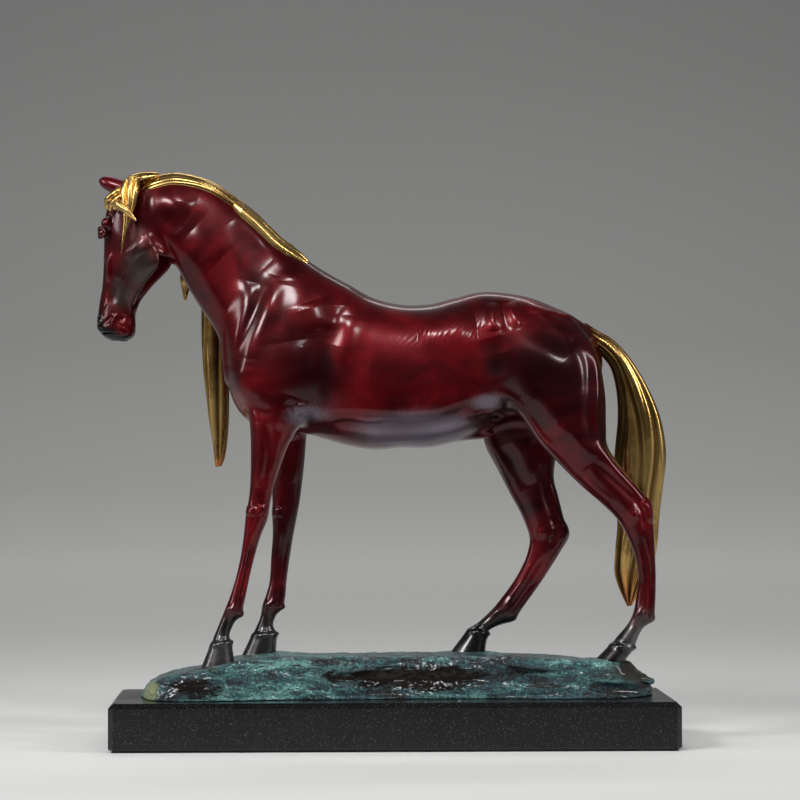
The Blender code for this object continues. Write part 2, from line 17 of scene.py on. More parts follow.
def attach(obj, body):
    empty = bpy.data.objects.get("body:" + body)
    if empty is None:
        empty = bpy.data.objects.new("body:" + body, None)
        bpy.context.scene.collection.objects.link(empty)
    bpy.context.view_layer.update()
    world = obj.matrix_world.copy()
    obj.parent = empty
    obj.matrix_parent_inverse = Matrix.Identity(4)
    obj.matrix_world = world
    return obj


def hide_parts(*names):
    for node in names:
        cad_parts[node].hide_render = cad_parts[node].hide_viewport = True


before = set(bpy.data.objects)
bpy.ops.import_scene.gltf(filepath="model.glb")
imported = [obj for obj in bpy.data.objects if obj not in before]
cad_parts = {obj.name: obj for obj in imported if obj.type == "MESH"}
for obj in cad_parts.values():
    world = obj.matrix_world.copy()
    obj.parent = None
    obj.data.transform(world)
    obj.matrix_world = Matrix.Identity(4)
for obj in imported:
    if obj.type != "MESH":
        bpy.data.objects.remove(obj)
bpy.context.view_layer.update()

MM = 0.001
BODY = "root"
# A distance, in millimetres, that stands for "nowhere near".
FAR = 60.0
# The point attribute that tells the materials how deep in a furrow or a fold a point lies.
GROOVE = "groove"

HEAD_PIVOT = (-150.0, 5.0)
HEAD_YAW = math.radians(32.0)

# Section cuts: a point (x, z) and the normal (x, z) that points away from the torso.
HEAD_CUT = ((-138.5, 316.5), (-0.962, -0.272))
NECK_CUT = ((-79.5, 259.5), (-0.867, 0.497))
FORE_CUT = ((-70.0, 190.5), (-0.316, -0.949))
NEAR_HIND_CUT = ((118.0, 172.0), (0.6, -0.8))
OFF_HIND_CUT = ((78.0, 176.0), (0.3, -0.954))

TORSO = (
    (-101, 238, -100, 222, 0, 5),
    (-98, 256, -95, 209, 0, 14.5),
    (-88, 268, -88, 201, 0, 21),
    (-74, 280, -74, 196.5, 0, 25.5),
    (-57, 286, -57, 190, 0, 28),
    (-43, 284.4, -42, 185.5, 0, 30),
    (-28, 279.8, -28, 181.5, 0, 32),
    (-12, 271.5, -12, 178.8, 0, 33.5),
    (5, 267.3, 5, 180, 0, 34),
    (22, 267.5, 22, 180, 0, 33.5),
    (38, 271.3, 38, 183.5, 0, 32),
    (54, 275.0, 54, 190.5, 0, 30.5),
    (70, 274.3, 72, 199, 0, 29.5),
    (86, 271, 92, 199, 0, 27),
    (102, 264.2, 110, 202, 0, 22),
    (115, 257.4, 121, 208, 0, 15),
    (123, 251, 126, 217, 0, 9),
    (127, 244, 128.5, 230, 0, 3.5),
)

NECK = (
    (-161, 329, -152, 301, 5.5, 8),
    (-151, 339.5, -141, 300, 5, 10),
    (-137, 344.7, -132.5, 291.5, 4, 12.5),
    (-123, 343.6, -126, 280, 3.2, 13.5),
    (-109, 338.8, -118.5, 267.5, 2.5, 14.5),
    (-96, 330.3, -110.5, 255.5, 1.8, 16),
    (-83, 320.5, -103.5, 241.5, 1, 18),
    (-69.5, 307, -100.5, 226, 0.5, 20.5),
    (-56, 296.5, -97, 212, 0, 23),
    (-44, 284.6, -90, 203, 0, 25),
    (-32, 268, -84, 198, 0, 19),
    (-20, 250, -77, 193, 0, 12),
)

# The head before it is turned, with x measured from its upright turning axis.
HEAD = (
    (-12, 342.5, 4, 340, 0, 5),
    (-19.5, 338, 5, 333, 0, 8.5),
    (-26.5, 329, 7, 322, 0, 11.5),
    (-29.3, 318, 11, 309, 0, 13),
    (-29.8, 308, 15.5, 298, 0, 12.6),
    (-30.4, 298, 16.5, 291, 0, 11.6),
    (-31.2, 288, 11.8, 285, 0, 10.2),
    (-32.3, 278, 3.2, 278, 0, 8.8),
    (-34.0, 269, -5.5, 270, 0, 8.0),
    (-35.2, 261, -9.6, 262, 0, 8.0),
    (-34.8, 254, -9.9, 254, 0, 8.4),
    (-30.6, 248.5, -11.4, 248.5, 0, 7.2),
    (-25.5, 245.9, -15.5, 245.9, 0, 4.4),
)

SHOULDER = (
    (-66, 281, -57, 281, 12, 4),
    (-81, 264, -48, 260, 17, 9),
    (-91, 242, -46, 235, 19, 12),
    (-92.5, 222, -48, 214, 19.5, 12.8),
)

NEAR_FORE = (
    (-92, 218, -51, 212, 19.5, 13),
    (-88, 203, -54.5, 197, 19.5, 12.2),
    (-86.5, 190, -61, 187, 19.5, 10.5),
    (-86.2, 176, -67, 173, 19.5, 8.8),
    (-86.5, 160, -72, 158, 19.5, 7.2),
    (-87.5, 149, -74.5, 147, 19.5, 6.6),
    (-89.3, 139, -76.2, 137, 19.5, 6.9),
    (-90.3, 129, -80.2, 127, 19.5, 5.9),
    (-92, 116, -84.5, 114, 19.5, 4.5),
    (-95.2, 101, -88, 99, 19.5, 4.3),
    (-98.5, 91, -90, 88.5, 19.5, 4.8),
    (-101.5, 83.5, -91.7, 80.5, 19.5, 5.6),
    (-104.5, 76, -96.3, 74.3, 19.5, 4.7),
    (-108, 67.5, -99, 67.5, 19.5, 5.1),
    (-110.6, 61.5, -98, 63, 19.5, 7.0),
    (-116.3, 47.3, -96, 50.9, 19.5, 8.7),
)

OFF_FORE = (
    (-91, 218, -49, 212, 19.5, 13),
    (-86, 203, -50, 197, 19.5, 12.2),
    (-81, 190, -52.5, 187, 19.5, 10.5),
    (-77, 176, -53.7, 174, 19.5, 8.8),
    (-74.5, 160, -55.2, 159, 19.5, 7.4),
    (-73.6, 148, -56.7, 147, 19.5, 6.7),
    (-73.6, 137.5, -58.7, 136, 19.5, 6.9),
    (-73.4, 126, -60.8, 125, 19.5, 5.9),
    (-74.3, 113, -63, 112, 19.5, 4.6),
    (-75.2, 98.5, -64.8, 98.5, 19.5, 4.4),
    (-77.3, 90, -65.6, 88.5, 19.5, 4.8),
    (-79.6, 83.5, -67, 82.5, 19.5, 5.6),
    (-81, 76, -71.4, 76.3, 19.5, 4.7),
    (-83.5, 69.8, -73, 70.5, 19.5, 5.1),
    (-86.2, 65, -70.8, 65.5, 19.5, 7.0),
    (-92.6, 51.9, -71.4, 54.1, 19.5, 8.7),
)

NEAR_HIND = (
    (74, 263, 106, 259, 9, 4.5),
    (66, 240, 122, 238, 17, 14),
    (69, 220, 128, 214, 18.5, 16),
    (76, 203, 128.7, 193, 19.2, 15),
    (88, 184, 129.5, 181, 19.5, 12.4),
    (100, 170.5, 136, 170, 19.5, 9.8),
    (113, 157.5, 143, 161, 19.5, 8.2),
    (125, 147, 150, 153, 19.5, 7.4),
    (135.5, 136.5, 155.8, 146.5, 19.5, 7.2),
    (141, 127, 157.4, 132, 19.5, 6.6),
    (146, 114, 158.2, 116, 19.5, 5.4),
    (148, 101, 158.7, 101, 19.5, 4.8),
    (146.8, 89.5, 158.5, 88, 19.5, 5.0),
    (145, 80, 157, 77, 19.5, 5.9),
    (141.5, 73, 150.5, 70, 19.5, 4.9),
    (136, 66.5, 147.3, 63.5, 19.5, 5.9),
    (131, 61, 145.5, 58.5, 19.5, 7.2),
    (122, 51.9, 139.5, 50.3, 19.5, 8.7),
)

OFF_HIND = (
    (72, 263, 106, 259, 9, 4.5),
    (62, 240, 122, 238, 17, 14),
    (58.5, 220, 124, 214, 18.5, 16),
    (56.5, 200, 116, 193, 19.2, 14.6),
    (58, 182, 104, 180, 19.5, 12),
    (66, 166, 99.4, 163, 19.5, 9.8),
    (72.5, 152.5, 102, 150.5, 19.5, 8.4),
    (80, 138.5, 105.4, 138, 19.5, 7.6),
    (84.9, 125, 109.4, 126.5, 19.5, 7.2),
    (83.9, 115.7, 104, 115.5, 19.5, 6.6),
    (80.5, 107, 95, 101.5, 19.5, 5.4),
    (75.5, 98, 88, 91.5, 19.5, 4.8),
    (69, 89, 81, 81.5, 19.5, 5.0),
    (62, 80.5, 75.5, 74.7, 19.5, 5.9),
    (53.5, 72.5, 62, 68.5, 19.5, 4.9),
    (47, 68, 59.5, 65, 19.5, 6.9),
    (36, 53.9, 57.4, 53.9, 19.5, 8.7),
)

EAR_NEAR = (
    (-6.2, 332.8, -3.6, 339.4, -7.4, 3.4),
    (-14.2, 334.2, -10.6, 343.2, -8.8, 4.8),
    (-21.0, 336.8, -17.6, 345.6, -10.2, 4.6),
    (-25.2, 339.6, -22.8, 346.4, -11, 3.4),
    (-27.0, 342.6, -26.2, 345.2, -11.4, 1.6),
)

EAR_OFF = (
    (-12, 334, -4, 336, 7.4, 3.2),
    (-12, 341, -3.5, 341.5, 9.5, 4.2),
    (-9, 346, -2.5, 345.4, 11.5, 3.1),
    (-5.7, 348.4, -3.2, 347.8, 12.8, 1.1),
)

TAIL = (
    (118, 256.5, 113, 246, 0, 4.5),
    (126, 251.5, 121, 241, 0, 6.5),
    (135, 246.4, 127, 236.5, 0.5, 8),
    (144, 237.4, 133, 229, 1, 9.5),
    (152, 226, 136, 219, 2, 10.5),
    (159, 213, 137.5, 207, 3, 11),
    (164.6, 199, 137.5, 195, 3, 11),
    (168, 182, 136, 180, 3, 11),
    (168.2, 168, 135, 167, 3, 11),
    (165.8, 152, 134.5, 150, 3, 10.5),
    (163.7, 136, 137, 134, 3, 10),
    (162.6, 122, 135.8, 118, 3, 9),
    (160, 108, 135.3, 104, 3, 7.5),
    (154, 95, 138.5, 93, 3, 5.5),
    (146.5, 83.2, 143.5, 82.8, 3, 2),
)

TRESS = (
    (-109.5, 301, -103.5, 303, 20.5, 1.0),
    (-117, 290.5, -105, 292.5, 25, 2),
    (-117.5, 277, -103.5, 277, 24.5, 3.6),
    (-117.5, 262, -102.5, 262, 24, 4.4),
    (-117.3, 245, -100.5, 245, 24, 4.8),
    (-116.3, 228, -99.8, 228, 24, 5),
    (-114.6, 212, -99.6, 212, 24, 5),
    (-113, 197, -100, 197, 24, 4.8),
    (-111, 185, -101, 184, 24, 4.5),
    (-109.6, 174, -102.5, 174, 24, 4),
    (-108.8, 168.2, -104.6, 168.8, 24, 2.6),
)

MANE_LOCK = (
    (-122, 306, -108, 303, 15, 3),
    (-130, 288, -120, 286, 17, 3),
    (-129.6, 279, -124, 278, 18.5, 2.4),
    (-127.9, 270.8, -126.5, 270.5, 19, 1),
)

POLL_LOCK = (
    (-142, 344.4, -143, 348.4, 3, 3),
    (-147, 342, -147.6, 348.8, 2, 6),
    (-153, 340, -153.6, 348.2, -1, 7.4),
    (-158, 338.4, -159.4, 346, -4.4, 5.4),
    (-160.6, 338, -162.2, 342.6, -6.6, 2.6),
)

FALLING_LOCKS = (
    ((-159.4, 343.6, -163.8, 342.6, -8.6, 2.6), (-160.8, 337, -165.4, 336, -10.8, 3.2),
     (-160.6, 329, -164.6, 328.6, -12.4, 2.9), (-160.4, 318, -163.6, 318, -13.6, 2.4),
     (-162.2, 307, -164.4, 307, -13.6, 1.8), (-164.4, 297.8, -165.0, 297.8, -13, 0.7)),
    ((-156.4, 345.2, -160.8, 345.2, -9.6, 2.6), (-157.2, 337, -161.6, 337, -12.4, 3.4),
     (-158.0, 328, -161.6, 328, -14.0, 2.8), (-160.0, 317, -162.2, 317, -14.4, 1.9),
     (-162.6, 306, -163.4, 306, -14.2, 0.8)),
    ((-153.4, 343.4, -157.6, 344.8, -9.8, 2.6), (-153.8, 336, -158.2, 336.6, -12.6, 3.2),
     (-155.6, 327, -159.2, 327, -14.0, 2.5), (-158.6, 318.6, -160.4, 318.6, -14.4, 1.6),
     (-160.8, 312.6, -161.6, 312.6, -14.2, 0.7)),
)

CROSSING_LOCK = (
    (-174.6, 327.2, -173.6, 331.0, -4, 2.4),
    (-167.8, 325.0, -167, 330.4, -12.5, 3.0),
    (-161.4, 320.8, -160.2, 325.6, -17.4, 2.8),
    (-155.6, 316.8, -155.0, 318.0, -18.2, 0.8),
)


# ---------------------------------------------------------------------------------------------
# Fields


def curve_parts(rows):
    """Cubic parts of a smooth curve through the rows, one part between each two rows."""
    rows = np.array(rows, float)
    padded = np.vstack([2 * rows[0] - rows[1], rows, 2 * rows[-1] - rows[-2]])
    before, start, end, after = padded[:-3], padded[1:-2], padded[2:-1], padded[3:]
    slope = (end - before) / 2
    bend = (2 * before - 5 * start + 4 * end - after) / 2
    twist = (3 * start - before - 3 * end + after) / 2
    return start, slope, bend, twist


def curve_at(parts, place):
    """Where the curve is at these places. Place 1.5 is halfway from the second row to the third."""
    start, slope, bend, twist = parts
    index = np.clip(place.astype(int), 0, len(start) - 1)
    t = (place - index)[..., None]
    return start[index] + t * (slope[index] + t * (bend[index] + t * twist[index]))


class Sweep:
    """A form that a changing oval section sweeps out."""

    def __init__(self, rows, side=1, power=2.0, egg=0.0, margin=14.0):
        rows = np.array([(*row[:4], side * row[4], row[5]) for row in rows], float)
        self.parts = curve_parts(rows)
        self.last = len(rows) - 1
        self.power = power
        self.egg = egg
        front, back = rows[:, 0:2], rows[:, 2:4]
        self.centres = (front + back) / 2
        reach = front - back
        reach /= np.linalg.norm(reach, axis=1, keepdims=True)
        normals = np.stack([-reach[:, 1], reach[:, 0]], axis=1)
        travel = np.gradient(self.centres, axis=0)
        self.sign = np.sign((normals * travel).sum())
        self.normals = normals * self.sign
        wide = rows[:, 5].max() + margin
        self.low = np.array([rows[:, [0, 2]].min() - margin, rows[:, 4].min() - wide,
                             rows[:, [1, 3]].min() - margin])
        self.high = np.array([rows[:, [0, 2]].max() + margin, rows[:, 4].max() + wide,
                              rows[:, [1, 3]].max() + margin])

    def local(self, points):
        """Place along the sweep, the scaled offsets in its section, the section, the overrun."""
        flat = points[:, [0, 2]]
        ahead = flat @ self.normals.T - (self.centres * self.normals).sum(axis=1)
        index = np.clip((ahead > 0).sum(axis=1) - 1, 0, self.last - 1)
        picked = np.arange(len(points))
        before, after = ahead[picked, index], ahead[picked, index + 1]
        gap = np.maximum(before - after, 0.05)
        place = index + np.clip(before / gap, 0, 1)
        for _ in range(3):
            place = np.clip(place, 0, self.last)
            row = curve_at(self.parts, place)
            middle = (row[:, 0:2] + row[:, 2:4]) / 2
            reach = row[:, 0:2] - row[:, 2:4]
            length = np.linalg.norm(reach, axis=1)
            unit = reach / length[:, None]
            offset = flat - middle
            beyond = self.sign * (unit[:, 0] * offset[:, 1] - unit[:, 1] * offset[:, 0])
            place = place + beyond / gap
        half = length / 2
        across = (offset * unit).sum(axis=1) / half
        width = row[:, 5] * (1 + self.egg * np.clip(across, -1, 1))
        side = (points[:, 1] - row[:, 4]) / width
        return np.clip(place, 0, self.last), across, side, half, width, beyond

    def distance(self, points, shape=None):
        """Signed distance. shape(place, angle, points) raises the surface by what it returns."""
        place, across, side, half, width, beyond = self.local(points)
        x, y = np.abs(across) + 1e-9, np.abs(side) + 1e-9
        power = self.power
        round_ = (x ** power + y ** power) ** (1 / power)
        steep = np.hypot(x ** (power - 1) / half, y ** (power - 1) / width) * round_ ** (1 - power)
        away = (round_ - 1) / steep
        away = np.maximum(away, -np.minimum(half, width))
        if shape is not None:
            away = away - shape(place, np.arctan2(side, across), points)
        over = np.where(place <= 0, -beyond, np.where(place >= self.last, beyond, -FAR))
        outside = np.hypot(np.maximum(away, 0), np.maximum(over, 0))
        return outside + np.minimum(np.maximum(away, over), 0)

    def field(self, points, shape=None):
        near = np.all((points > self.low) & (points < self.high), axis=1)
        result = np.full(len(points), FAR)
        if near.any():
            result[near] = self.distance(points[near], shape)
        return result


def blend(first, second, radius):
    """Union with a fillet of about that radius."""
    overlap = np.maximum(radius - np.abs(first - second), 0) / radius
    return np.minimum(first, second) - overlap * overlap * radius / 4


def carve(first, second, radius):
    """Takes the second form away, with an eased edge."""
    return -blend(-first, second, radius)


def blend_cut(first, second, radius):
    """Where both forms overlap, with a rounded edge."""
    return -blend(-first, -second, radius)


def ball(points, centre, radii):
    """A rough signed distance to an ellipsoid."""
    offset = (points - np.array(centre)) / np.array(radii)
    reach = np.linalg.norm(offset, axis=1) + 1e-9
    steep = np.linalg.norm(offset / np.array(radii), axis=1) / reach + 1e-9
    return (reach - 1) / steep


def path_places(points, path):
    """Distance to a chain of straight runs, and how far along it the nearest place is, 0 to 1."""
    best = np.full(len(points), 1e9)
    place = np.zeros(len(points))
    for index, (start, end) in enumerate(zip(path[:-1], path[1:])):
        run = end - start
        offset = points - start
        share = np.clip(offset @ run / (run @ run), 0, 1)
        away = np.linalg.norm(offset - share[:, None] * run, axis=1)
        closer = away < best
        best = np.where(closer, away, best)
        place = np.where(closer, index + share, place)
    return best, place / (len(path) - 1)


def path_distance(points, path):
    return path_places(points, np.array(path, float))[0]


def smooth_path(path, steps=4):
    """More points on a smooth curve through the path's own."""
    path = np.array(path, float)
    if len(path) < 3:
        return path
    places = np.arange((len(path) - 1) * steps) / steps
    return np.vstack([curve_at(curve_parts(path), places), path[-1]])


# A relief is felt this many widths away, reaches its full height at this share of its path from
# either end, and fades in over this many millimetres from the middle plane.
RELIEF_REACH = 2.6
END_FADE = 0.35
SIDE_FADE = 6


class Relief:
    """A soft ridge (height above 0) or groove (below 0) that follows a path on the body's side."""

    def __init__(self, side, width, height, path, inner=3.0):
        self.side = side
        self.width = width
        self.height = height
        self.path = smooth_path(path)
        self.inner = inner
        margin = RELIEF_REACH * width
        self.low = self.path.min(axis=0) - margin
        self.high = self.path.max(axis=0) + margin

    def height_at(self, points):
        flat = points if self.path.shape[1] == 3 else points[:, [0, 2]]
        result = np.zeros(len(points))
        near = np.all((flat > self.low) & (flat < self.high), axis=1)
        if self.side == "near":
            near &= points[:, 1] < 0
        elif self.side == "off":
            near &= points[:, 1] > 0
        if not near.any():
            return result
        away, place = path_places(flat[near], self.path)
        away = away / self.width
        fade = np.clip(np.minimum(place, 1 - place) / END_FADE, 0, 1)
        raised = self.height * np.exp(-away * away) * (0.1 + 0.9 * fade * (2 - fade))
        if self.path.shape[1] == 2:
            raised *= np.clip((np.abs(points[near, 1]) - self.inner) / SIDE_FADE, 0, 1)
        result[near] = raised
        return result


LOIN_SHEEN = ((12, 250), (30, 252), (48, 254))
STROKE_HEIGHT = 0.045
STROKE_REACH = 12


def stroke_texture(points):
    """Short slanting tool strokes on the loin's sheen, each a little wavy."""
    x, z = points[:, 0], points[:, 2]
    away = path_distance(points[:, [0, 2]], LOIN_SHEEN)
    wave = np.sin(z * 0.35) * 1.2 + np.sin(x * 0.23 + 1) * 2.4
    strokes = np.sin(x * 1.9 - z * 1.2 + wave)
    return STROKE_HEIGHT * strokes * np.clip(1 - away / STROKE_REACH, 0, 1)


def relief_height(reliefs, points):
    total = np.zeros(len(points))
    for relief in reliefs:
        total += relief.height_at(points)
    return total


# ---------------------------------------------------------------------------------------------
# Muscles, bones, veins and folds. A row is (side, width, height, path), and a fifth value says how
# far from the middle plane the relief starts. Paths are (x, z) on the body's side, or (x, y, z).

BODY_RELIEFS = [Relief(*row) for row in (
    # Neck: the muscle band behind the poll, the furrow above the windpipe, the shoulder's edge.
    ("both", 9, 1.5, ((-146, 336), (-134, 331), (-122, 325))),
    ("both", 5, -1.0, ((-146, 322), (-138, 318), (-130, 311))),
    ("both", 6, -1.2, ((-133, 300), (-121, 279), (-112, 263), (-105, 247))),
    ("both", 6, 0.9, ((-127, 303), (-116, 287), (-107, 270), (-100, 252))),
    ("both", 11, 1.3, ((-122, 312), (-112, 303), (-104, 295))),
    ("both", 9, -1.0, ((-100, 316), (-88, 303), (-76, 291))),
    ("both", 5, 0.7, ((-92, 320), (-80, 307), (-70, 296), (-62, 291))),
    ("both", 8, 3.0, ((-85, 280), (-89, 266), (-94, 250), (-98, 230))),
    ("both", 4.4, -1.9, ((-78, 278), (-84, 261), (-91, 244), (-96, 226))),
    ("both", 7, 1.3, ((-70, 284), (-76, 266), (-83, 249), (-89, 230))),
    # Shoulder blade and its spine, the triceps, the point of the shoulder and the elbow.
    ("both", 6, -0.6, ((-64, 278), (-68, 262), (-72, 246))),
    ("both", 9, 1.8, ((-48, 269), (-46, 262), (-45, 250))),
    ("both", 7, -1.2, ((-33, 266), (-33, 256), (-36, 242))),
    ("both", 13, 1.8, ((-62, 244), (-60, 228), (-64, 212))),
    ("both", 8, -1.5, ((-43, 254), (-41, 236), (-42, 216), (-44, 202))),
    ("both", 8, 1.5, ((-92, 234), (-93, 221), (-90, 208))),
    ("both", 4, -1.0, ((-88, 208), (-80, 203), (-72, 201))),
    ("both", 4, 1.3, ((-57, 207), (-55, 199))),
    ("both", 3, -1.3, ((-66, 207), (-60, 203), (-57, 196))),
    ("both", 3.2, 1.0, ((-70, 198), (-64, 192), (-62, 184))),
    # Ribs, flank and the line of the belly.
    ("both", 6, 0.8, ((-27, 260), (-29, 246), (-33, 230))),
    ("both", 7, -0.5, ((-19, 256), (-22, 238), (-27, 218))),
    ("both", 12, 2.2, ((14, 249), (32, 250), (50, 252))),
    ("both", 9, -1.6, ((57, 246), (60, 234), (64, 222))),
    ("both", 4.0, 1.1, ((-40, 201), (-20, 202.5), (2, 201.5), (24, 202), (42, 208),
                        (60, 211))),
    ("both", 5, -1.3, ((-36, 194), (-12, 194), (10, 193.5), (32, 197), (52, 203))),
    ("both", 3, 0.8, ((-36, 191), (-20, 189), (-8, 186))),
    ("both", 4, 0.7, ((20, 188), (36, 190), (52, 196))),
    # Hip, croup and thigh.
    ("both", 3.6, 1.5, ((60.5, 268), (60, 259), (60.5, 250))),
    ("both", 3.4, -1.2, ((66, 269), (66.5, 260), (68, 250))),
    ("both", 4.2, 1.3, ((70, 268), (73, 261), (78, 253))),
    ("both", 3.4, 0.9, ((82, 266), (90, 262), (98, 257))),
    ("both", 5, 1.1, ((96, 258), (103, 252), (110, 247))),
    ("both", 6, -0.9, ((84, 252), (96, 245), (106, 236))),
    ("both", 9, -0.9, ((62, 236), (66, 222), (73, 208))),
    ("both", 3, 1.0, ((112, 250), (119, 245), (123, 235), (123.5, 216), (122, 202),
                      (123, 188))),
    ("both", 3, -0.9, ((110, 243), (116, 232), (117, 216), (116, 200), (118, 188))),
    ("near", 3, 1.5, ((62, 214), (70, 210), (76, 204), (83, 194), (90, 184), (98, 175))),
    ("near", 6, -1.6, ((80, 206), (88, 195), (97, 184))),
    ("near", 6, 1.3, ((100, 196), (110, 184), (120, 172))),
    ("near", 4, -1.1, ((98, 187), (108, 177), (117, 167))),
    ("near", 3.4, 1.2, ((122, 184), (132, 170), (143, 158), (151, 150))),
    ("near", 3, -1.3, ((120, 172), (130, 163), (142, 152), (149, 145))),
    ("near", 2.4, 0.7, ((112, 164), (122, 154), (133, 146))),
    ("off", 3, 1.4, ((58, 196), (60, 184), (66, 172), (72, 158))),
    ("off", 6, 1.2, ((80, 186), (84, 172), (88, 158))),
    ("off", 4, -1.3, ((70, 182), (76, 168), (82, 154))),
    ("off", 3.4, 1.1, ((98, 176), (98, 162), (101, 148), (105, 134))),
    ("off", 3, -1.2, ((93, 172), (93, 158), (96, 146), (101, 134))),
    # The folds between the thigh and the belly.
    ("near", 2.4, 1.4, ((40, 199), (56, 201), (70, 202), (76, 198)), 6),
    ("both", 4, -1.6, ((62, 206), (68, 203), (74, 199)), 8),
)]

LEG_RELIEFS = [Relief(*row) for row in (
    # Near fore: forearm, knee, tendons, fetlock.
    ("near", 3.2, 1.2, ((-82, 196), (-80, 182), (-80, 168), (-82, 156))),
    ("near", 2.6, -1.2, ((-76, 196), (-75, 182), (-76.5, 168), (-79, 156))),
    ("near", 2.6, 1.0, ((-69, 190), (-70.5, 176), (-74, 162))),
    ("near", 3.2, 1.0, ((-86, 145), (-87, 139))),
    ("near", 2.2, 0.8, ((-79, 146), (-80, 139))),
    ("near", 1.8, -0.7, ((-83, 150), (-84, 140), (-86, 130))),
    ("near", 1.5, 0.5, ((-88.5, 128), (-91, 112), (-95, 98), (-97.5, 88))),
    ("near", 1.4, -0.9, ((-84.5, 128), (-87.5, 112), (-90.6, 98), (-93.5, 88))),
    ("near", 1.5, 0.6, ((-82, 124), (-85.8, 110), (-89, 97), (-91, 86))),
    ("near", 2.4, 0.6, ((-95, 83), (-99, 82))),
    # Off fore.
    ("off", 3.0, 1.1, ((-74, 190), (-71, 176), (-70, 162))),
    ("off", 2.6, -1.2, ((-67, 192), (-65, 176), (-65.5, 160))),
    ("off", 2.8, 1.0, ((-57, 188), (-57.5, 172), (-59, 158))),
    ("off", 3.0, 1.0, ((-70.5, 144), (-71, 137))),
    ("off", 1.8, -0.7, ((-67, 148), (-67.5, 138), (-68, 128))),
    ("off", 1.4, -0.9, ((-68, 126), (-69, 112), (-70, 98), (-72, 88))),
    ("off", 1.5, 0.6, ((-63.5, 122), (-65.5, 108), (-67, 96))),
    # Near hind: the hock's bones and the tendon above it, tendons of the cannon.
    ("near", 3.0, 1.0, ((142, 138), (148, 140))),
    ("near", 2.4, 1.3, ((152, 148), (154.5, 142), (155, 134))),
    ("near", 2.2, -1.3, ((146, 148), (150, 140), (151.5, 130))),
    ("near", 1.5, -0.9, ((150.5, 126), (153, 112), (153.6, 98), (152.6, 86))),
    ("near", 1.5, 0.5, ((146.5, 122), (149.5, 110), (150.2, 98))),
    ("near", 1.5, 0.6, ((155.5, 124), (156.6, 108), (156.8, 94))),
    ("near", 2.4, 0.6, ((150, 80), (153, 79))),
    # Off hind.
    ("off", 3.0, 1.0, ((89, 128), (95, 127))),
    ("off", 2.4, 1.2, ((104, 134), (107, 128), (104, 121))),
    ("off", 2.2, -1.2, ((98, 138), (101, 128), (97, 118))),
    ("off", 1.5, -0.9, ((92, 112), (85, 100), (77, 88), (70, 79))),
    ("off", 1.5, 0.5, ((85, 109), (79.5, 98), (72.5, 88))),
    ("off", 1.5, 0.6, ((97, 108), (90.5, 97), (83, 87))),
    # A vein on the belly.
    ("near", 1.2, 0.5, ((-40, 196), (-28, 198), (-16, 196), (-4, 197))),
)]

torso_form = Sweep(TORSO, power=2.15, egg=-0.07)
neck_form = Sweep(NECK, egg=-0.06)
head_form = Sweep(HEAD, power=2.2)
limb_forms = {
    "near_fore": Sweep(SHOULDER + NEAR_FORE[1:], side=-1),
    "off_fore": Sweep(SHOULDER + OFF_FORE[1:], side=1),
    "near_hind": Sweep(NEAR_HIND, side=-1),
    "off_hind": Sweep(OFF_HIND, side=1),
}


def head_space(points):
    """Points as the head sees them before it turns: x from its axis, y from its middle plane."""
    x = points[:, 0] - HEAD_PIVOT[0]
    y = points[:, 1] - HEAD_PIVOT[1]
    cosine, sine = math.cos(HEAD_YAW), math.sin(HEAD_YAW)
    return np.stack([cosine * x - sine * y, sine * x + cosine * y, points[:, 2]], axis=1)


def from_head_space(points):
    points = np.array(points, float)
    cosine, sine = math.cos(HEAD_YAW), math.sin(HEAD_YAW)
    x = cosine * points[:, 0] + sine * points[:, 1] + HEAD_PIVOT[0]
    y = -sine * points[:, 0] + cosine * points[:, 1] + HEAD_PIVOT[1]
    return np.stack([x, y, points[:, 2]], axis=1)


# On the head a path is (x, y, z) with y its distance from the middle plane, on both sides.
HEAD_RELIEFS = [Relief(*row) for row in (
    ("all", 3.0, 1.6, ((-22, 12.5, 317), (-25.5, 12.5, 314.5), (-28, 10, 312.5))),
    ("all", 3.4, -1.2, ((-17, 13, 321), (-20, 13.5, 324))),
    ("all", 2.4, 1.4, ((-20.5, 12.5, 300), (-22, 10.5, 290), (-23.5, 9, 281))),
    ("all", 3.6, -1.3, ((-27, 8.5, 296), (-28.5, 7.6, 284), (-30, 7, 274))),
    ("all", 3.2, -1.2, ((-14.5, 10.5, 284), (-18, 9, 275), (-22, 8, 268))),
    ("all", 7.0, 1.2, ((0, 12, 305), (5, 11, 298))),
    ("all", 4.2, 0.7, ((-2, 12, 316), (8, 11.5, 308), (13, 10, 299), (10, 9.5, 290),
                       (0, 9.5, 284))),
    ("all", 2.2, -1.0, ((-6, 13, 296), (-8, 12, 288), (-12, 10, 281))),
    ("all", 2.6, 0.8, ((-33, 5.5, 262), (-33.5, 6, 257))),
    ("all", 1.4, -0.9, ((-27, 8.5, 256.5), (-23, 8.8, 258), (-19.5, 8.8, 260.5))),
    ("all", 1.8, 0.9, ((-22, 8.8, 256), (-18.5, 9, 259), (-17.8, 8.8, 262.5))),
    ("all", 2.0, 0.7, ((-29, 9, 268), (-25, 9, 266))),
    ("all", 3.0, 0.9, ((-16, 5, 250), (-14, 4, 254))),
    ("all", 1.8, -0.8, ((-15, 5.5, 257), (-13, 5, 262))),
)]


JAW_HOLLOW = Sweep(((2, 300, 26, 293, 0, 5), (-4, 280, 14, 276, 0, 4.5), (-9, 268, 2, 266, 0, 2.5)))
UPPER_LID = ((-28.2, 9.6, 311.0), (-27.2, 12.6, 313.6), (-24.4, 14.5, 314.8), (-20.6, 14.0, 312.0))
LOWER_LID = ((-28.2, 9.6, 310.8), (-26.8, 12.9, 309.0), (-24.0, 14.3, 308.4), (-20.6, 14.0, 311.0))


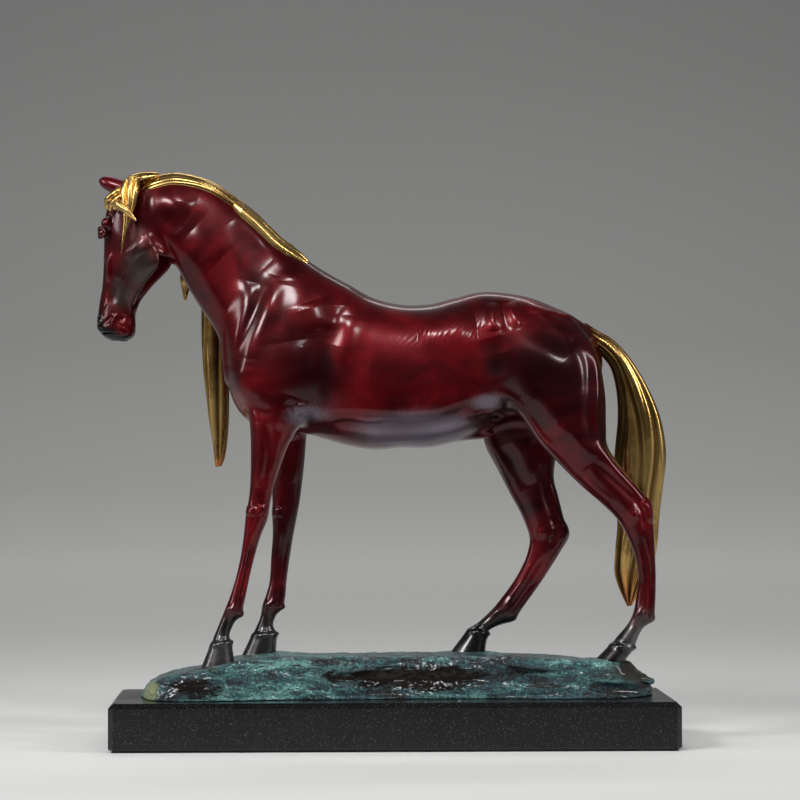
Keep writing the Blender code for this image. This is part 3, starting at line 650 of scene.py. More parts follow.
def tube(points, path, radius):
    """Distance to a round rod along a smooth path, right only within the margin of it."""
    margin = 6
    path = smooth_path(path)
    low, high = path.min(axis=0) - margin, path.max(axis=0) + margin
    near = np.all((points > low) & (points < high), axis=1)
    result = np.full(len(points), FAR)
    if near.any():
        result[near] = path_distance(points[near], path) - radius
    return result


# Features of the head, in the order they are made: how, centre, radii, and how eased its edge is.
# The brow, the eye's socket and the eyeball.
EYE = (
    (blend, (-21.4, 11.6, 317.2), (3.7, 3.6, 4.0), 2.4),
    (carve, (-24.4, 14.6, 311.9), (4.4, 2.0, 2.6), 1.5),
    (blend, (-24.4, 11.8, 311.4), (3.2, 3.2, 3.0), 0.4),
)
# The nostril's raised rim round its deep comma, the slit between the lips, and the chin.
MUZZLE = (
    (blend, (-30.6, 5.6, 256.5), (3.0, 3.2, 4.6), 2.0),
    (carve, (-31.4, 8.4, 257.2), (1.4, 2.2, 2.8), 1.0),
    (carve, (-30.6, 8.6, 260.0), (1.8, 1.6, 1.6), 1.0),
    (carve, (-25, 6.6, 250.4), (6.0, 3.8, 0.4), 0.8),
    (blend, (-17, 0, 250.6), (5.2, 5.4, 4.8), 2.5),
)
# The x that the muzzle doesn't pass, so that the model stays inside its casting's box.
MUZZLE_LIMIT = -181.2


def add_features(field, features, points):
    for join, centre, radii, easing in features:
        field = join(field, ball(points, centre, radii), easing)
    return field


def head_field(points):
    """Signed distance of the turned head."""
    seen = head_space(points)
    folded = np.abs(seen) * (0, 1, 0) + seen * (1, 0, 1)
    field = head_form.field(seen) - relief_height(HEAD_RELIEFS, folded)
    # The hollow between the jaw's two branches.
    field = carve(field, JAW_HOLLOW.field(seen), 4)
    field = add_features(field, EYE, folded)
    field = blend(field, tube(folded, UPPER_LID, 0.75), 0.8)
    field = blend(field, tube(folded, LOWER_LID, 0.65), 0.8)
    field = add_features(field, MUZZLE, folded)
    return blend_cut(field, MUZZLE_LIMIT - points[:, 0], 1.5)


def hump(value, centre, width):
    """1 at the centre, easing to 0 on both sides."""
    return np.exp(-((value - centre) / width) ** 2)


def lower_leg(limb, coronet, fetlock, knee):
    """The ring of the coronet, the fetlock's spur, and the furrows before the tendons.

    coronet, fetlock and knee are counted in rows from the leg's last one."""
    coronet, fetlock, knee = limb.last - coronet, limb.last - fetlock, limb.last - knee

    def shape(place, angle, points):
        turn = np.abs(angle)
        back = hump(turn, math.pi, 0.55)
        ring = 0.5 * hump(place, coronet, 0.17) - 0.3 * hump(place, coronet - 0.36, 0.2)
        heel = 0.9 * back * hump(place, coronet - 0.05, 0.25)
        spur = 1.7 * back * hump(place, fetlock + 0.15, 0.32)
        joint = 0.7 * hump(turn, 0.9, 0.35) * hump(place, fetlock, 0.4)
        cannon = np.clip((place - knee) / 0.8, 0, 1) * np.clip((fetlock + 0.2 - place) / 0.6, 0, 1)
        tendon = cannon * (0.35 * hump(turn, 1.45, 0.3) - 0.75 * hump(turn, 2.0, 0.26))
        return ring + heel + spur + joint + tendon
    return shape


LOWER_LEGS = {
    "near_fore": lower_leg(limb_forms["near_fore"], 1, 4, 8),
    "off_fore": lower_leg(limb_forms["off_fore"], 1, 4, 8),
    "near_hind": lower_leg(limb_forms["near_hind"], 1, 4, 7),
    "off_hind": lower_leg(limb_forms["off_hind"], 1, 3, 6),
}


NECK_FILLET = 16
FORE_FILLET = 8
HIND_FILLET = 9
HEAD_FILLET = 5
# The hollow of the near flank, and the sheath.
UNDERSIDE = (
    (carve, (67, -17, 199), (8, 10, 4.2), 3),
    (blend, (50, 0, 189), (12, 6, 4), 6),
)


def horse_field(points):
    """Signed distance of the whole horse without its hair, in millimetres."""
    field = blend(torso_form.field(points), neck_form.field(points), NECK_FILLET)
    for name, limb in limb_forms.items():
        fillet = FORE_FILLET if name.endswith("fore") else HIND_FILLET
        field = blend(field, limb.field(points, LOWER_LEGS[name]), fillet)
    field = field - relief_height(BODY_RELIEFS, points)
    field = field - relief_height(LEG_RELIEFS, points) - stroke_texture(points)
    field = add_features(field, UNDERSIDE, points)
    return blend(field, head_field(points), HEAD_FILLET)


# ---------------------------------------------------------------------------------------------
# Meshing a field


# The coarse grid that finds where the surface runs has cells this many times as big.
COARSE = 4
CORNERS = np.array([(x, y, z) for x in (0, 1) for y in (0, 1) for z in (0, 1)])
EDGES = [(a, b) for a in range(8) for b in range(a + 1, 8)
         if np.abs(CORNERS[a] - CORNERS[b]).sum() == 1]


def in_chunks(field, points, size=200000):
    """The field at many points, with little memory."""
    return np.concatenate([field(points[i:i + size]) for i in range(0, len(points), size)])


def spread(cells, times):
    for axis in range(3):
        cells = np.repeat(cells, times, axis=axis)
    return cells


def corners_of(array):
    """The eight corner values of each cell of a grid, as views."""
    return [array[tuple(slice(shift, size - 1 + shift) for shift, size in zip(corner, array.shape))]
            for corner in CORNERS]


def grid_values(field, low, high, step):
    """The field on a grid, exact near its surface and only right in its sign elsewhere."""
    counts = np.ceil((np.array(high, float) - low) / (step * COARSE)).astype(int)
    grid = np.stack(np.meshgrid(*[np.arange(n + 1) for n in counts], indexing="ij"), axis=-1)
    rough = in_chunks(field, low + grid.reshape(-1, 3) * (step * COARSE))
    rough = rough.reshape(counts + 1)
    nearest = np.min([np.abs(view) for view in corners_of(rough)], axis=0)
    signs = np.sum([view < 0 for view in corners_of(rough)], axis=0)
    busy = (nearest < 1.5 * COARSE * step) | ((signs > 0) & (signs < 8))
    shape = counts * COARSE + 1
    wanted = np.zeros(shape, bool)
    wanted[:-1, :-1, :-1] = spread(busy, COARSE)
    for axis in range(3):
        wanted |= np.roll(wanted, 1, axis=axis)
    values = np.full(shape, FAR, np.float32)
    values[:-1, :-1, :-1] = spread(np.where(signs == 8, -FAR, FAR).astype(np.float32), COARSE)
    values[wanted] = in_chunks(field, low + np.argwhere(wanted) * step)
    return values


def middle_of_crossings(values, cells):
    """In each cell, the mean of the places where its edges cross the surface, from its corner."""
    corner = [values[tuple((cells + shift).T)].astype(float) for shift in CORNERS]
    summed = np.zeros((len(cells), 3))
    crossings = np.zeros(len(cells))
    for a, b in EDGES:
        crossed = (corner[a] < 0) != (corner[b] < 0)
        share = np.where(crossed, corner[a] / np.where(crossed, corner[a] - corner[b], 1), 0)
        where = CORNERS[a] + share[:, None] * (CORNERS[b] - CORNERS[a])
        summed += np.where(crossed[:, None], where, 0)
        crossings += crossed
    return summed / crossings[:, None]


def crossing_quads(inside, flat, axis):
    """A quad over each grid edge along this axis that crosses the surface."""
    changes = inside != np.roll(inside, -1, axis=axis)
    edge = [slice(1, -1)] * 3
    edge[axis] = slice(0, -1)
    starts = np.argwhere(changes[tuple(edge)]) + [0 if a == axis else 1 for a in range(3)]
    one, two = (axis + 1) % 3, (axis + 2) % 3
    ring = []
    for back_one, back_two in ((0, 0), (1, 0), (1, 1), (0, 1)):
        cell = starts.copy()
        cell[:, one] -= back_one
        cell[:, two] -= back_two
        ring.append(np.searchsorted(flat, np.ravel_multi_index(cell.T, inside.shape)))
    quad = np.stack(ring, axis=1)
    leaving = inside[tuple(starts.T)]
    quad[~leaving] = quad[~leaving][:, ::-1]
    return quad


def surface_net(field, low, high, step):
    """Points and quads of the surface where the field is zero, on a grid of that step."""
    low = np.array(low, float)
    values = grid_values(field, low, high, step)
    inside = values < 0
    total = np.zeros(np.array(inside.shape) - 1, np.uint8)
    for view in corners_of(inside):
        total += view
    cells = np.argwhere((total > 0) & (total < 8))
    flat = np.ravel_multi_index(cells.T, inside.shape)
    points = low + step * (cells + middle_of_crossings(values, cells))
    return points, np.concatenate([crossing_quads(inside, flat, axis) for axis in range(3)])


# The corners of a tetrahedron, which take four samples to find a slope.
TETRA = np.array([(1, 1, 1), (1, -1, -1), (-1, 1, -1), (-1, -1, 1)], float)


def slope_of(field, points, reach=0.12):
    """The field's gradient."""
    total = np.zeros_like(points)
    for corner in TETRA:
        total += in_chunks(field, points + corner * reach)[:, None] * corner
    return total / (4 * reach)


def settled(field, points):
    """The points moved onto the surface, and the surface's normals there."""
    slope = slope_of(field, points)
    steep = np.maximum((slope * slope).sum(axis=1), 0.05)
    value = in_chunks(field, points)
    move = slope * np.clip(value / steep, -1.0, 1.0)[:, None]
    points = points - move
    return points, slope / np.linalg.norm(slope, axis=1, keepdims=True)


def largest_island(shape):
    """Deletes all but the biggest connected body."""
    left = set(shape.verts)
    islands = []
    while left:
        seed = left.pop()
        island = [seed]
        front = [seed]
        while front:
            vertex = front.pop()
            for edge in vertex.link_edges:
                other = edge.other_vert(vertex)
                if other in left:
                    left.discard(other)
                    island.append(other)
                    front.append(other)
        islands.append(island)
    islands.sort(key=len)
    for island in islands[:-1]:
        bmesh.ops.delete(shape, geom=island, context="VERTS")


def cap_holes(shape):
    """Closes each open edge loop with a fan of triangles, and leaves out those it already has."""
    open_edges = {edge for edge in shape.edges if edge.is_boundary}
    while open_edges:
        edge = open_edges.pop()
        loop = [edge.verts[0], edge.verts[1]]
        while True:
            following = [e for e in loop[-1].link_edges if e in open_edges]
            if not following:
                break
            open_edges.discard(following[0])
            loop.append(following[0].other_vert(loop[-1]))
        if loop[0] is loop[-1]:
            loop.pop()
        middle = shape.verts.new(sum((vertex.co for vertex in loop), Vector()) / len(loop))
        for first, second in zip(loop, loop[1:] + loop[:1]):
            try:
                shape.faces.new((second, first, middle))
            except ValueError:
                pass


def link(name, mesh, finish, node):
    """An object that stands in for a CAD node."""
    made = bpy.data.objects.new(name, mesh)
    bpy.context.scene.collection.objects.link(made)
    mesh.materials.append(finish)
    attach(made, BODY)
    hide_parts(node)
    return made


def mesh_from(points, faces):
    """A mesh of faces that all have the same number of corners."""
    mesh = bpy.data.meshes.new("form")
    mesh.vertices.add(len(points))
    mesh.vertices.foreach_set("co", np.asarray(points, np.float32).ravel())
    mesh.loops.add(faces.size)
    mesh.loops.foreach_set("vertex_index", faces.astype(np.int32).ravel())
    mesh.polygons.add(len(faces))
    mesh.polygons.foreach_set("loop_start", np.arange(0, faces.size, faces.shape[1], np.int32))
    mesh.update(calc_edges=True)
    mesh.validate()
    return mesh


def store_grooves(mesh, depth):
    attribute = mesh.attributes.new(GROOVE, "FLOAT", "POINT")
    attribute.data.foreach_set("value", depth.astype(np.float32))


def turn_faces_out(mesh, keep_largest=False):
    shape = bmesh.new()
    shape.from_mesh(mesh)
    bmesh.ops.recalc_face_normals(shape, faces=shape.faces)
    if keep_largest:
        largest_island(shape)
    shape.to_mesh(mesh)
    shape.free()


def cut_at(shape, plane, keep, half):
    """Cuts at a plane, and keeps its far side (keep above 0) or the torso's. half is the y side
    that the cut works on, or 0."""
    (x, z), (normal_x, normal_z) = plane
    if half:
        chosen = [face for face in shape.faces if face.calc_center_median().y * half > 0]
        geometry = list({v for f in chosen for v in f.verts})
        geometry += list({e for f in chosen for e in f.edges}) + chosen
    else:
        geometry = list(shape.verts) + list(shape.edges) + list(shape.faces)
    bmesh.ops.bisect_plane(shape, geom=geometry, plane_co=(x, 0, z), dist=1e-4,
                           plane_no=(normal_x, 0, normal_z), clear_outer=keep < 0,
                           clear_inner=keep > 0)


def cut_mesh(name, points, quads, cuts):
    """The closed mesh that the cuts leave of these quads."""
    shape = bmesh.new()
    raw = mesh_from(points, quads)
    shape.from_mesh(raw)
    bpy.data.meshes.remove(raw)
    for plane, keep, half in cuts:
        cut_at(shape, plane, keep, half)
    largest_island(shape)
    cap_holes(shape)
    bmesh.ops.recalc_face_normals(shape, faces=shape.faces)
    mesh = bpy.data.meshes.new(name)
    shape.to_mesh(mesh)
    shape.free()
    return mesh


def casting(name, field, low, high, step, cuts, finish, node):
    """One piece of the form. A cut is (plane, side to keep, y side it works on or 0)."""
    mesh = cut_mesh(name, *surface_net(field, low, high, step), cuts)
    points = np.empty(len(mesh.vertices) * 3, np.float32)
    mesh.vertices.foreach_get("co", points)
    points, normals = settled(field, points.reshape(-1, 3).astype(float))
    mesh.vertices.foreach_set("co", (points * MM).astype(np.float32).ravel())
    mesh.shade_smooth()
    mesh.normals_split_custom_set_from_vertices(normals.astype(np.float32))
    store_grooves(mesh, -in_chunks(lambda part: relief_height(BODY_RELIEFS, part), points))
    mesh.update()
    return link(name, mesh, finish, node)


# ---------------------------------------------------------------------------------------------
# Hair


def strand_depth(around, along, seed, count, depth, width, twist=0.0, wander=0.03):
    """How deep the furrows between a lock's strands are. around and along run from 0 to 1."""
    pick = np.random.default_rng(seed)
    total = np.zeros(np.broadcast(around, along).shape)
    for index in range(count):
        start, drift, swing = pick.uniform(-0.3, 0.3), pick.uniform(0.4, 1.1), pick.uniform(0, 1)
        place = (index + start) / count + twist * along
        place = place + wander * np.sin(math.tau * (along * drift + swing))
        pulse, shift = pick.uniform(0.6, 2.0), pick.uniform(0, 1)
        strength = depth * pick.uniform(0.5, 1.0)
        strength = strength * (0.7 + 0.3 * np.sin(math.tau * (along * pulse + shift)))
        away = np.abs((around - place + 0.5) % 1.0 - 0.5)
        total += strength * np.exp(-(away / (width * pick.uniform(0.7, 1.3))) ** 1.4)
    return total


def grid_faces(rows, columns, closed):
    """Quads of a grid of points. A closed grid joins its last column to its first."""
    row, column = np.meshgrid(np.arange(rows - 1), np.arange(columns - (0 if closed else 1)),
                              indexing="ij")
    after = (column + 1) % columns
    corners = [row * columns + column, row * columns + after,
               (row + 1) * columns + after, (row + 1) * columns + column]
    return np.stack(corners, axis=-1).reshape(-1, 4)


def lock(rows, seed, rings, sides, deep, fine, twist=0.0):
    """A lock of hair swept by its rows: (points, faces, groove depth at each point).

    deep and fine are the furrows: how many, how deep and how wide."""
    row = curve_at(curve_parts(rows), np.linspace(0, len(rows) - 1 - 1e-6, rings))
    around = np.arange(sides) / sides
    along = np.linspace(0, 1, rings)[:, None]
    angle = math.tau * around
    reach = row[:, 0:2] - row[:, 2:4]
    half = np.linalg.norm(reach, axis=1) / 2
    unit = reach / (2 * half[:, None])
    width = np.maximum(row[:, 5], 0.3)
    thin = np.minimum(1.0, np.minimum(half, width) / 5)[:, None]
    depth = strand_depth(around, along, seed, *deep, twist=twist)
    depth = (depth + strand_depth(around, along, seed + 50, *fine, twist=twist)) * thin
    out_along, out_side = np.cos(angle) / half[:, None], np.sin(angle) / width[:, None]
    steep = np.hypot(out_along, out_side)
    reach_along = half[:, None] * np.cos(angle) - depth * out_along / steep
    reach_side = width[:, None] * np.sin(angle) - depth * out_side / steep
    middle = (row[:, 0:2] + row[:, 2:4]) / 2
    points = np.empty((rings, sides, 3))
    points[..., 0] = middle[:, None, 0] + unit[:, None, 0] * reach_along
    points[..., 1] = row[:, None, 4] + reach_side
    points[..., 2] = middle[:, None, 1] + unit[:, None, 1] * reach_along
    ends = points[[0, -1]].mean(axis=1)
    faces = [tuple(face) for face in grid_faces(rings, sides, True)]
    count = rings * sides
    ring = np.arange(sides)
    faces += [(int(a), int(b), count) for a, b in zip(ring, np.roll(ring, -1))]
    last = ring + (rings - 1) * sides
    faces += [(int(b), int(a), count + 1) for a, b in zip(last, np.roll(last, -1))]
    grooves = np.append(depth.ravel(), depth[[0, -1]].mean(axis=1))
    return np.vstack([points.reshape(-1, 3), ends]), faces, grooves


NECK_CURVE = curve_parts(NECK)
# How far the mane's underside lies below the neck's surface.
CREST_SINK = 1.5


def neck_point(place, angle, height):
    """A point over the neck: by its place along the rows, its angle from the crest, its height."""
    row = curve_at(NECK_CURVE, place)
    reach = row[..., 0:2] - row[..., 2:4]
    half = np.linalg.norm(reach, axis=-1) / 2
    unit = reach / (2 * half[..., None])
    along = (half + height) * np.cos(angle)
    x = (row[..., 0] + row[..., 2]) / 2 + unit[..., 0] * along
    z = (row[..., 1] + row[..., 3]) / 2 + unit[..., 1] * along
    y = row[..., 4] + (row[..., 5] + height) * np.sin(angle)
    return np.stack([x, y, z], axis=-1)


def laid_lock(path, width, height, seed, strands, rings, columns=25):
    """A flat lock that lies on the neck along a path of (place, angle in degrees)."""
    centre = curve_at(curve_parts(path), np.linspace(0, len(path) - 1 - 1e-6, rings))
    place, angle = centre[:, 0], np.radians(centre[:, 1])
    small = 0.01
    here = neck_point(place, angle, 0.0)
    per_place = np.linalg.norm(neck_point(place + small, angle, 0.0) - here, axis=1) / small
    per_angle = np.linalg.norm(neck_point(place, angle + small, 0.0) - here, axis=1) / small
    run = np.stack([np.gradient(place) * per_place, np.gradient(angle) * per_angle], axis=1)
    run /= np.linalg.norm(run, axis=1, keepdims=True) + 1e-9
    along = np.linspace(0, 1, rings)
    taper = np.minimum(1, (along / 0.15 + 0.05)) ** 0.6 * np.maximum(1 - along ** 2.2, 0) ** 0.5
    half = width * taper + 0.05
    across = np.linspace(-1, 1, columns)
    shift = across * half[:, None]
    places = place[:, None] - run[:, 1:2] * shift / per_place[:, None]
    angles = angle[:, None] + run[:, 0:1] * shift / per_angle[:, None]
    furrows = strand_depth((across + 1) / 2, along[:, None], seed, strands, 0.9, 0.07, wander=0.06)
    furrows += strand_depth((across + 1) / 2, along[:, None], seed + 9, 2 * strands, 0.12, 0.05)
    furrows *= (taper[:, None] + 0.2) / 1.2
    rise = height * (0.25 + 0.75 * taper[:, None]) * np.sqrt(np.maximum(1 - across ** 2, 0))
    top = neck_point(places, angles, rise - furrows * np.minimum(1, rise / 1.5))
    low = neck_point(places, angles, np.full(places.shape, -CREST_SINK))
    points = np.concatenate([top, low[:, ::-1]], axis=1)
    faces = [tuple(face) for face in grid_faces(rings, 2 * columns, True)]
    faces.append(tuple(range(2 * columns)))
    faces.append(tuple(reversed(range((rings - 1) * 2 * columns, rings * 2 * columns))))
    depth = np.concatenate([furrows, np.zeros(furrows.shape)], axis=1)
    return points.reshape(-1, 3), faces, depth.ravel()


def hair_piece(name, locks, finish, node):
    """One object from several locks."""
    points, faces, grooves = [], [], []
    total = 0
    for lock_points, lock_faces, depth in locks:
        points.append(lock_points)
        faces += [tuple(int(i) + total for i in face) for face in lock_faces]
        grooves.append(depth)
        total += len(lock_points)
    mesh = bpy.data.meshes.new(name)
    mesh.from_pydata((np.concatenate(points) * MM).tolist(), [], faces)
    store_grooves(mesh, np.concatenate(grooves))
    mesh.validate()
    turn_faces_out(mesh)
    mesh.shade_smooth()
    return link(name, mesh, finish, node)


# The off side's locks: their roots' places along the neck's rows, and how far down they fall there,
# as (place, angle in degrees).
MANE_SEED = 21
MANE_ROOTS = (1.5, 2.1, 2.7, 3.3, 3.9, 4.5, 5.1, 5.7, 6.3, 6.9, 7.4)
MANE_FALL = ((1, 62), (2, 84), (3, 106), (4, 116), (5, 116), (6, 102), (7, 76), (8, 46), (9, 30))


# Strips along the crest and the leaf-shaped lock over the withers: path, width, height, seed,
# strands, rings.
CREST_LOCKS = (
    (((0.2, -20), (1.6, -24), (3.6, -20), (5.0, -21), (6.0, -22)), 2.6, 2.5, 5, 1, 130),
    (((2.6, -14), (4.0, -17), (5.4, -22), (6.4, -24), (7.4, -20)), 2.2, 2.7, 6, 1, 130),
    (((4.8, -19), (5.8, -23), (6.8, -22), (7.9, -17), (8.8, -10)), 4.2, 3.2, 7, 2, 130),
    (((6.2, -12), (7.0, -12), (7.8, -9), (8.5, -4)), 2.6, 3.3, 8, 2, 110),
    (((7.3, -26), (7.7, -22), (8.1, -19), (8.3, -13)), 1.3, 2.0, 9, 1, 60),
)


def mane_locks():
    """The crest's broad strip and its smaller ones, the locks on the off side, and the hanging one."""
    ridge = ((0.1, -4), (2.0, -4), (4, -4), (6, -4), (8.0, -4))
    locks = [laid_lock(ridge, 5.4, 3.5, 3, 2, 160, 41)]
    locks += [laid_lock(*row) for row in CREST_LOCKS]
    places, falls = np.array(MANE_FALL, float).T
    pick = np.random.default_rng(MANE_SEED)
    for index, root in enumerate(MANE_ROOTS):
        end = float(np.interp(root + 0.4, places, falls)) * pick.uniform(0.9, 1.08)
        drift = pick.uniform(0.3, 0.7)
        path = ((root, -10), (root + 0.1, 14), (root + 0.1 + drift * 0.5, end * 0.55),
                (root + drift, end))
        width, height = pick.uniform(5.0, 6.6), pick.uniform(2.4, 3.4)
        locks.append(laid_lock(path, width, height, 30 + index, 3, 80, 31))
    locks.append(lock(MANE_LOCK, 61, 70, 48, (4, 0.7, 0.04), (12, 0.25, 0.02)))
    return locks


FOREHEAD_LOCKS = (
    ((-162.6, 336, -164, 340, -5, 2.2), (-168, 332.4, -169.6, 337, -6, 3.0),
     (-172.4, 328.6, -175.0, 332.0, -4, 2.6), (-172.8, 324.8, -175.6, 326.6, 0, 1.4)),
    ((-161.6, 332.6, -163.4, 336.6, -8, 2.4), (-166, 329.4, -167.4, 333.4, -10.5, 2.6),
     (-169.8, 326.2, -171.8, 329.0, -9, 2.2), (-171.4, 323.4, -173.0, 324.8, -6.5, 1.0)),
    ((-160.6, 329.6, -162, 333, -11, 2.2), (-164.6, 326.6, -166, 329.6, -12, 2.2),
     (-168.2, 323.8, -169.6, 325.4, -11, 1.0)),
)


def forelock_locks():
    """The lock over the poll, the one that crosses the brow, the falling ones, the forehead's."""
    few, little = (5, 0.9, 0.05), (8, 0.1, 0.03)
    locks = [
        lock(POLL_LOCK, 71, 80, 72, (6, 0.7, 0.04), (12, 0.12, 0.02)),
        lock(CROSSING_LOCK, 73, 80, 56, (6, 0.9, 0.04), little),
    ]
    locks += [lock(rows, 74 + index, 90, 48, few, little)
              for index, rows in enumerate(FALLING_LOCKS)]
    for index, rows in enumerate(FOREHEAD_LOCKS):
        locks.append(lock(rows, 80 + index, 60, 40, (4, 0.6, 0.045), (9, 0.2, 0.02)))
    return locks


# ---------------------------------------------------------------------------------------------
# Rock

ROCK_BASE = 29.2
ROCK_CENTRE = np.array((2.0, 0.0))
ROCK_FOOT = (
    (-153, 0), (-150, -32), (-132, -45), (-98, -43), (-45, -35), (15, -32), (75, -34), (118, -36),
    (143, -31), (159.5, -6), (157, 18), (130, 35), (75, 39), (10, 37), (-60, 40), (-118, 43),
    (-146, 30),
)
ROCK_HEIGHT = (
    (-156, 35), (-146, 40.5), (-134, 44), (-118, 47), (-104, 50), (-92, 53), (-72, 54.8),
    (-40, 54.6), (0, 55), (45, 55), (80, 53.6), (104, 52.4), (124, 50.5), (138, 48),
    (150, 44.5), (162, 39),
)
# The last row of each leg's sections, which is its sole.
SOLES = (NEAR_FORE[-1], OFF_FORE[-1], NEAR_HIND[-1], OFF_HIND[-1])
SOLE_SIDES = (-1, 1, -1, 1)


def lattice_noise(points, size, seed):
    """Smooth noise from -1 to 1, with lumps of that size."""
    scaled = points / size + seed * 7.31
    cell = np.floor(scaled).astype(np.int64)
    part = scaled - cell
    part = part * part * (3 - 2 * part)
    total = np.zeros(len(points))
    for corner in CORNERS:
        key = (cell + corner).astype(np.uint64)
        mixed = key[:, 0] * np.uint64(73856093) ^ key[:, 1] * np.uint64(19349663)
        mixed ^= key[:, 2] * np.uint64(83492791) ^ np.uint64(seed * 2654435761 % 2 ** 32)
        mixed = (mixed ^ (mixed >> np.uint64(13))) * np.uint64(1274126177)
        mixed ^= mixed >> np.uint64(16)
        value = (mixed & np.uint64(0xFFFF)).astype(float) / 32767.5 - 1
        total += value * np.prod(np.where(corner, part, 1 - part), axis=1)
    return total


def smooth_noise(points, size, seed, octaves=3):
    total, strength = np.zeros(len(points)), 1.0
    for octave in range(octaves):
        total += strength * lattice_noise(points, size / 2 ** octave, seed + octave)
        strength /= 2
    return total / 1.75


def closed_curve(points, steps=10):
    """Points on a smooth closed curve through these, with that many steps from one to the next."""
    wrapped = np.array([points[-1], *points, *points[:2]], float)
    places = 1 + np.arange(len(points) * steps) / steps
    return curve_at(curve_parts(wrapped), places)


foot_curve = closed_curve(ROCK_FOOT) - ROCK_CENTRE
foot_turn = np.arctan2(foot_curve[:, 1], foot_curve[:, 0])
foot_order = np.argsort(foot_turn)
FOOT_TURNS = foot_turn[foot_order]
FOOT_REACHES = np.linalg.norm(foot_curve, axis=1)[foot_order]


def outline_distance(points):
    """How far outside the foot outline, in plan. It is right near the outline."""
    offset = points[:, :2] - ROCK_CENTRE
    turn = np.arctan2(offset[:, 1], offset[:, 0])
    reach = np.interp(turn, FOOT_TURNS, FOOT_REACHES, period=math.tau)
    away = np.linalg.norm(offset, axis=1)
    step = 0.02
    before = np.interp(turn - step, FOOT_TURNS, FOOT_REACHES, period=math.tau)
    after = np.interp(turn + step, FOOT_TURNS, FOOT_REACHES, period=math.tau)
    slant = (after - before) / (2 * step * reach)
    return (away - reach) / np.sqrt(1 + slant * slant)


def sole_level(points):
    """For the nearest hoof: (how far away it is in plan, the level of its sole's plane)."""
    nearest = np.full(len(points), 1e9)
    level = np.zeros(len(points))
    for row, side in zip(SOLES, SOLE_SIDES):
        x, y = (row[0] + row[2]) / 2, side * row[4]
        slope = (row[3] - row[1]) / (row[2] - row[0])
        plane = (row[1] + row[3]) / 2 + slope * np.clip(points[:, 0] - x, -14, 14)
        away = np.hypot((points[:, 0] - x) / 1.25, points[:, 1] - y)
        closer = away < nearest
        nearest = np.where(closer, away, nearest)
        level = np.where(closer, plane, level)
    return nearest, level


# The deep recess under the rock's front lip, the undercut below the slab at its right end, and
# cracks as (depth, width, path).
RECESS = ((-42, -37, 42), (-22, -35, 41.4), (8, -32, 41), (38, -31.5, 41.6), (58, -31.5, 44),
          (68, -32, 47.5))
UNDERCUT = ((92, -35, 40.5), (112, -35, 37.5), (132, -32, 35), (150, -24, 33))
CRACKS = (
    (1.3, 2.0, ((-118, -46, 38), (-105, -44, 39.5), (-92, -43, 38.5), (-76, -40, 40),
                (-62, -38, 40.5))),
    (1.1, 1.6, ((-100, -44, 45), (-86, -42, 43.8), (-70, -40, 45.2), (-56, -38, 44.6),
                (-44, -36, 46))),
    (1.6, 2.2, ((-92, -42, 47), (-86, -41, 48.2), (-80, -40, 46.8))),
    (1.2, 2.0, ((-76, -38, 50), (-70, -37, 49), (-64, -36, 50.2))),
    (1.2, 2.4, ((70, -24, 56), (71.5, -30, 53), (74, -35, 49), (71, -36, 46))),
    (0.9, 1.4, ((76, -34, 48), (88, -35, 46.6), (100, -35.5, 47.5), (110, -34, 46))),
    (1.0, 1.5, ((96, -36, 42), (112, -36.5, 40), (128, -35, 37.5), (140, -31, 34.5))),
    (1.4, 2.2, ((-146, -34, 37), (-132, -45, 39), (-118, -46, 41.5), (-104, -40, 45.5))),
)


def rock_top(points, sole, calm):
    """The level of the ground, which eases to the soles' planes at the hooves."""
    x, y = points[:, 0], points[:, 1]
    places, heights = np.array(ROCK_HEIGHT).T
    lumps = smooth_noise(points * (1.0, 1.0, 0.45), 26, 11)
    top = np.interp(x, places, heights) - 0.018 * y + 0.9 * lumps - 0.4
    return sole + (top - sole) * calm


def ledge_height(points):
    """Tilted layers that stand out from the rock's sides, here more and there less."""
    warp = smooth_noise(points * (0.35, 0.6, 0.3), 17, 31) * 6.5
    layer = ((points[:, 2] + 0.05 * points[:, 0] + warp) / 8.2) % 1.0
    shelf = np.minimum(layer / 0.72, (1 - layer) / 0.28)
    patch = np.clip(0.5 + smooth_noise(points * (0.6, 1, 0.4), 30, 37) * 1.6, 0, 1)
    return 2.4 * (shelf - 0.45) * patch


def rock_openings(points, away):
    """Carves the recess, the undercut and the cracks."""
    squeeze = (0.55, 1, 1)
    recess = path_distance(points * squeeze, np.array(RECESS) * squeeze)
    recess = recess - 5.0 - 1.7 * smooth_noise(points * (0.6, 1, 1), 12, 61)
    away = carve(away, recess, 3.5)
    away = carve(away, path_distance(points, smooth_path(UNDERCUT)) - 3.2, 1.5)
    for depth, width, path in CRACKS:
        crack = path_distance(points, smooth_path(path))
        away = away + depth * np.exp(-(crack / width) ** 2) * 1.1
    return away


def rock_field(points):
    """Signed distance of the rock, in millimetres."""
    near_hoof, level = sole_level(points)
    calm = np.clip((near_hoof - 9) / 10, 0, 1)
    calm = calm * calm * (3 - 2 * calm)
    top = rock_top(points, level + 0.7, calm)
    side = outline_distance(points) + 0.24 * (points[:, 2] - ROCK_BASE) + 1.2
    side = side + 3.2 * smooth_noise(points * (1, 1, 0.8), 21, 23) * calm
    away = blend_cut(side, (points[:, 2] - top) * 0.92, 7)
    steepness = np.clip((side + 7) / 7, 0, 1)
    away = away - ledge_height(points) * steepness
    ridged = 1 - np.abs(smooth_noise(points * (0.55, 0.8, 1.6), 9, 41)) * 3.2
    away = away + 0.9 * np.clip(ridged, 0, 1) * (0.25 + 0.75 * steepness) * calm
    away = away - 0.35 * smooth_noise(points, 4.2, 51, 2) * (0.3 + 0.7 * calm)
    away = rock_openings(points, away)
    away = blend(away, rock_slab(points), 2.0)
    return np.maximum(away, ROCK_BASE - points[:, 2])


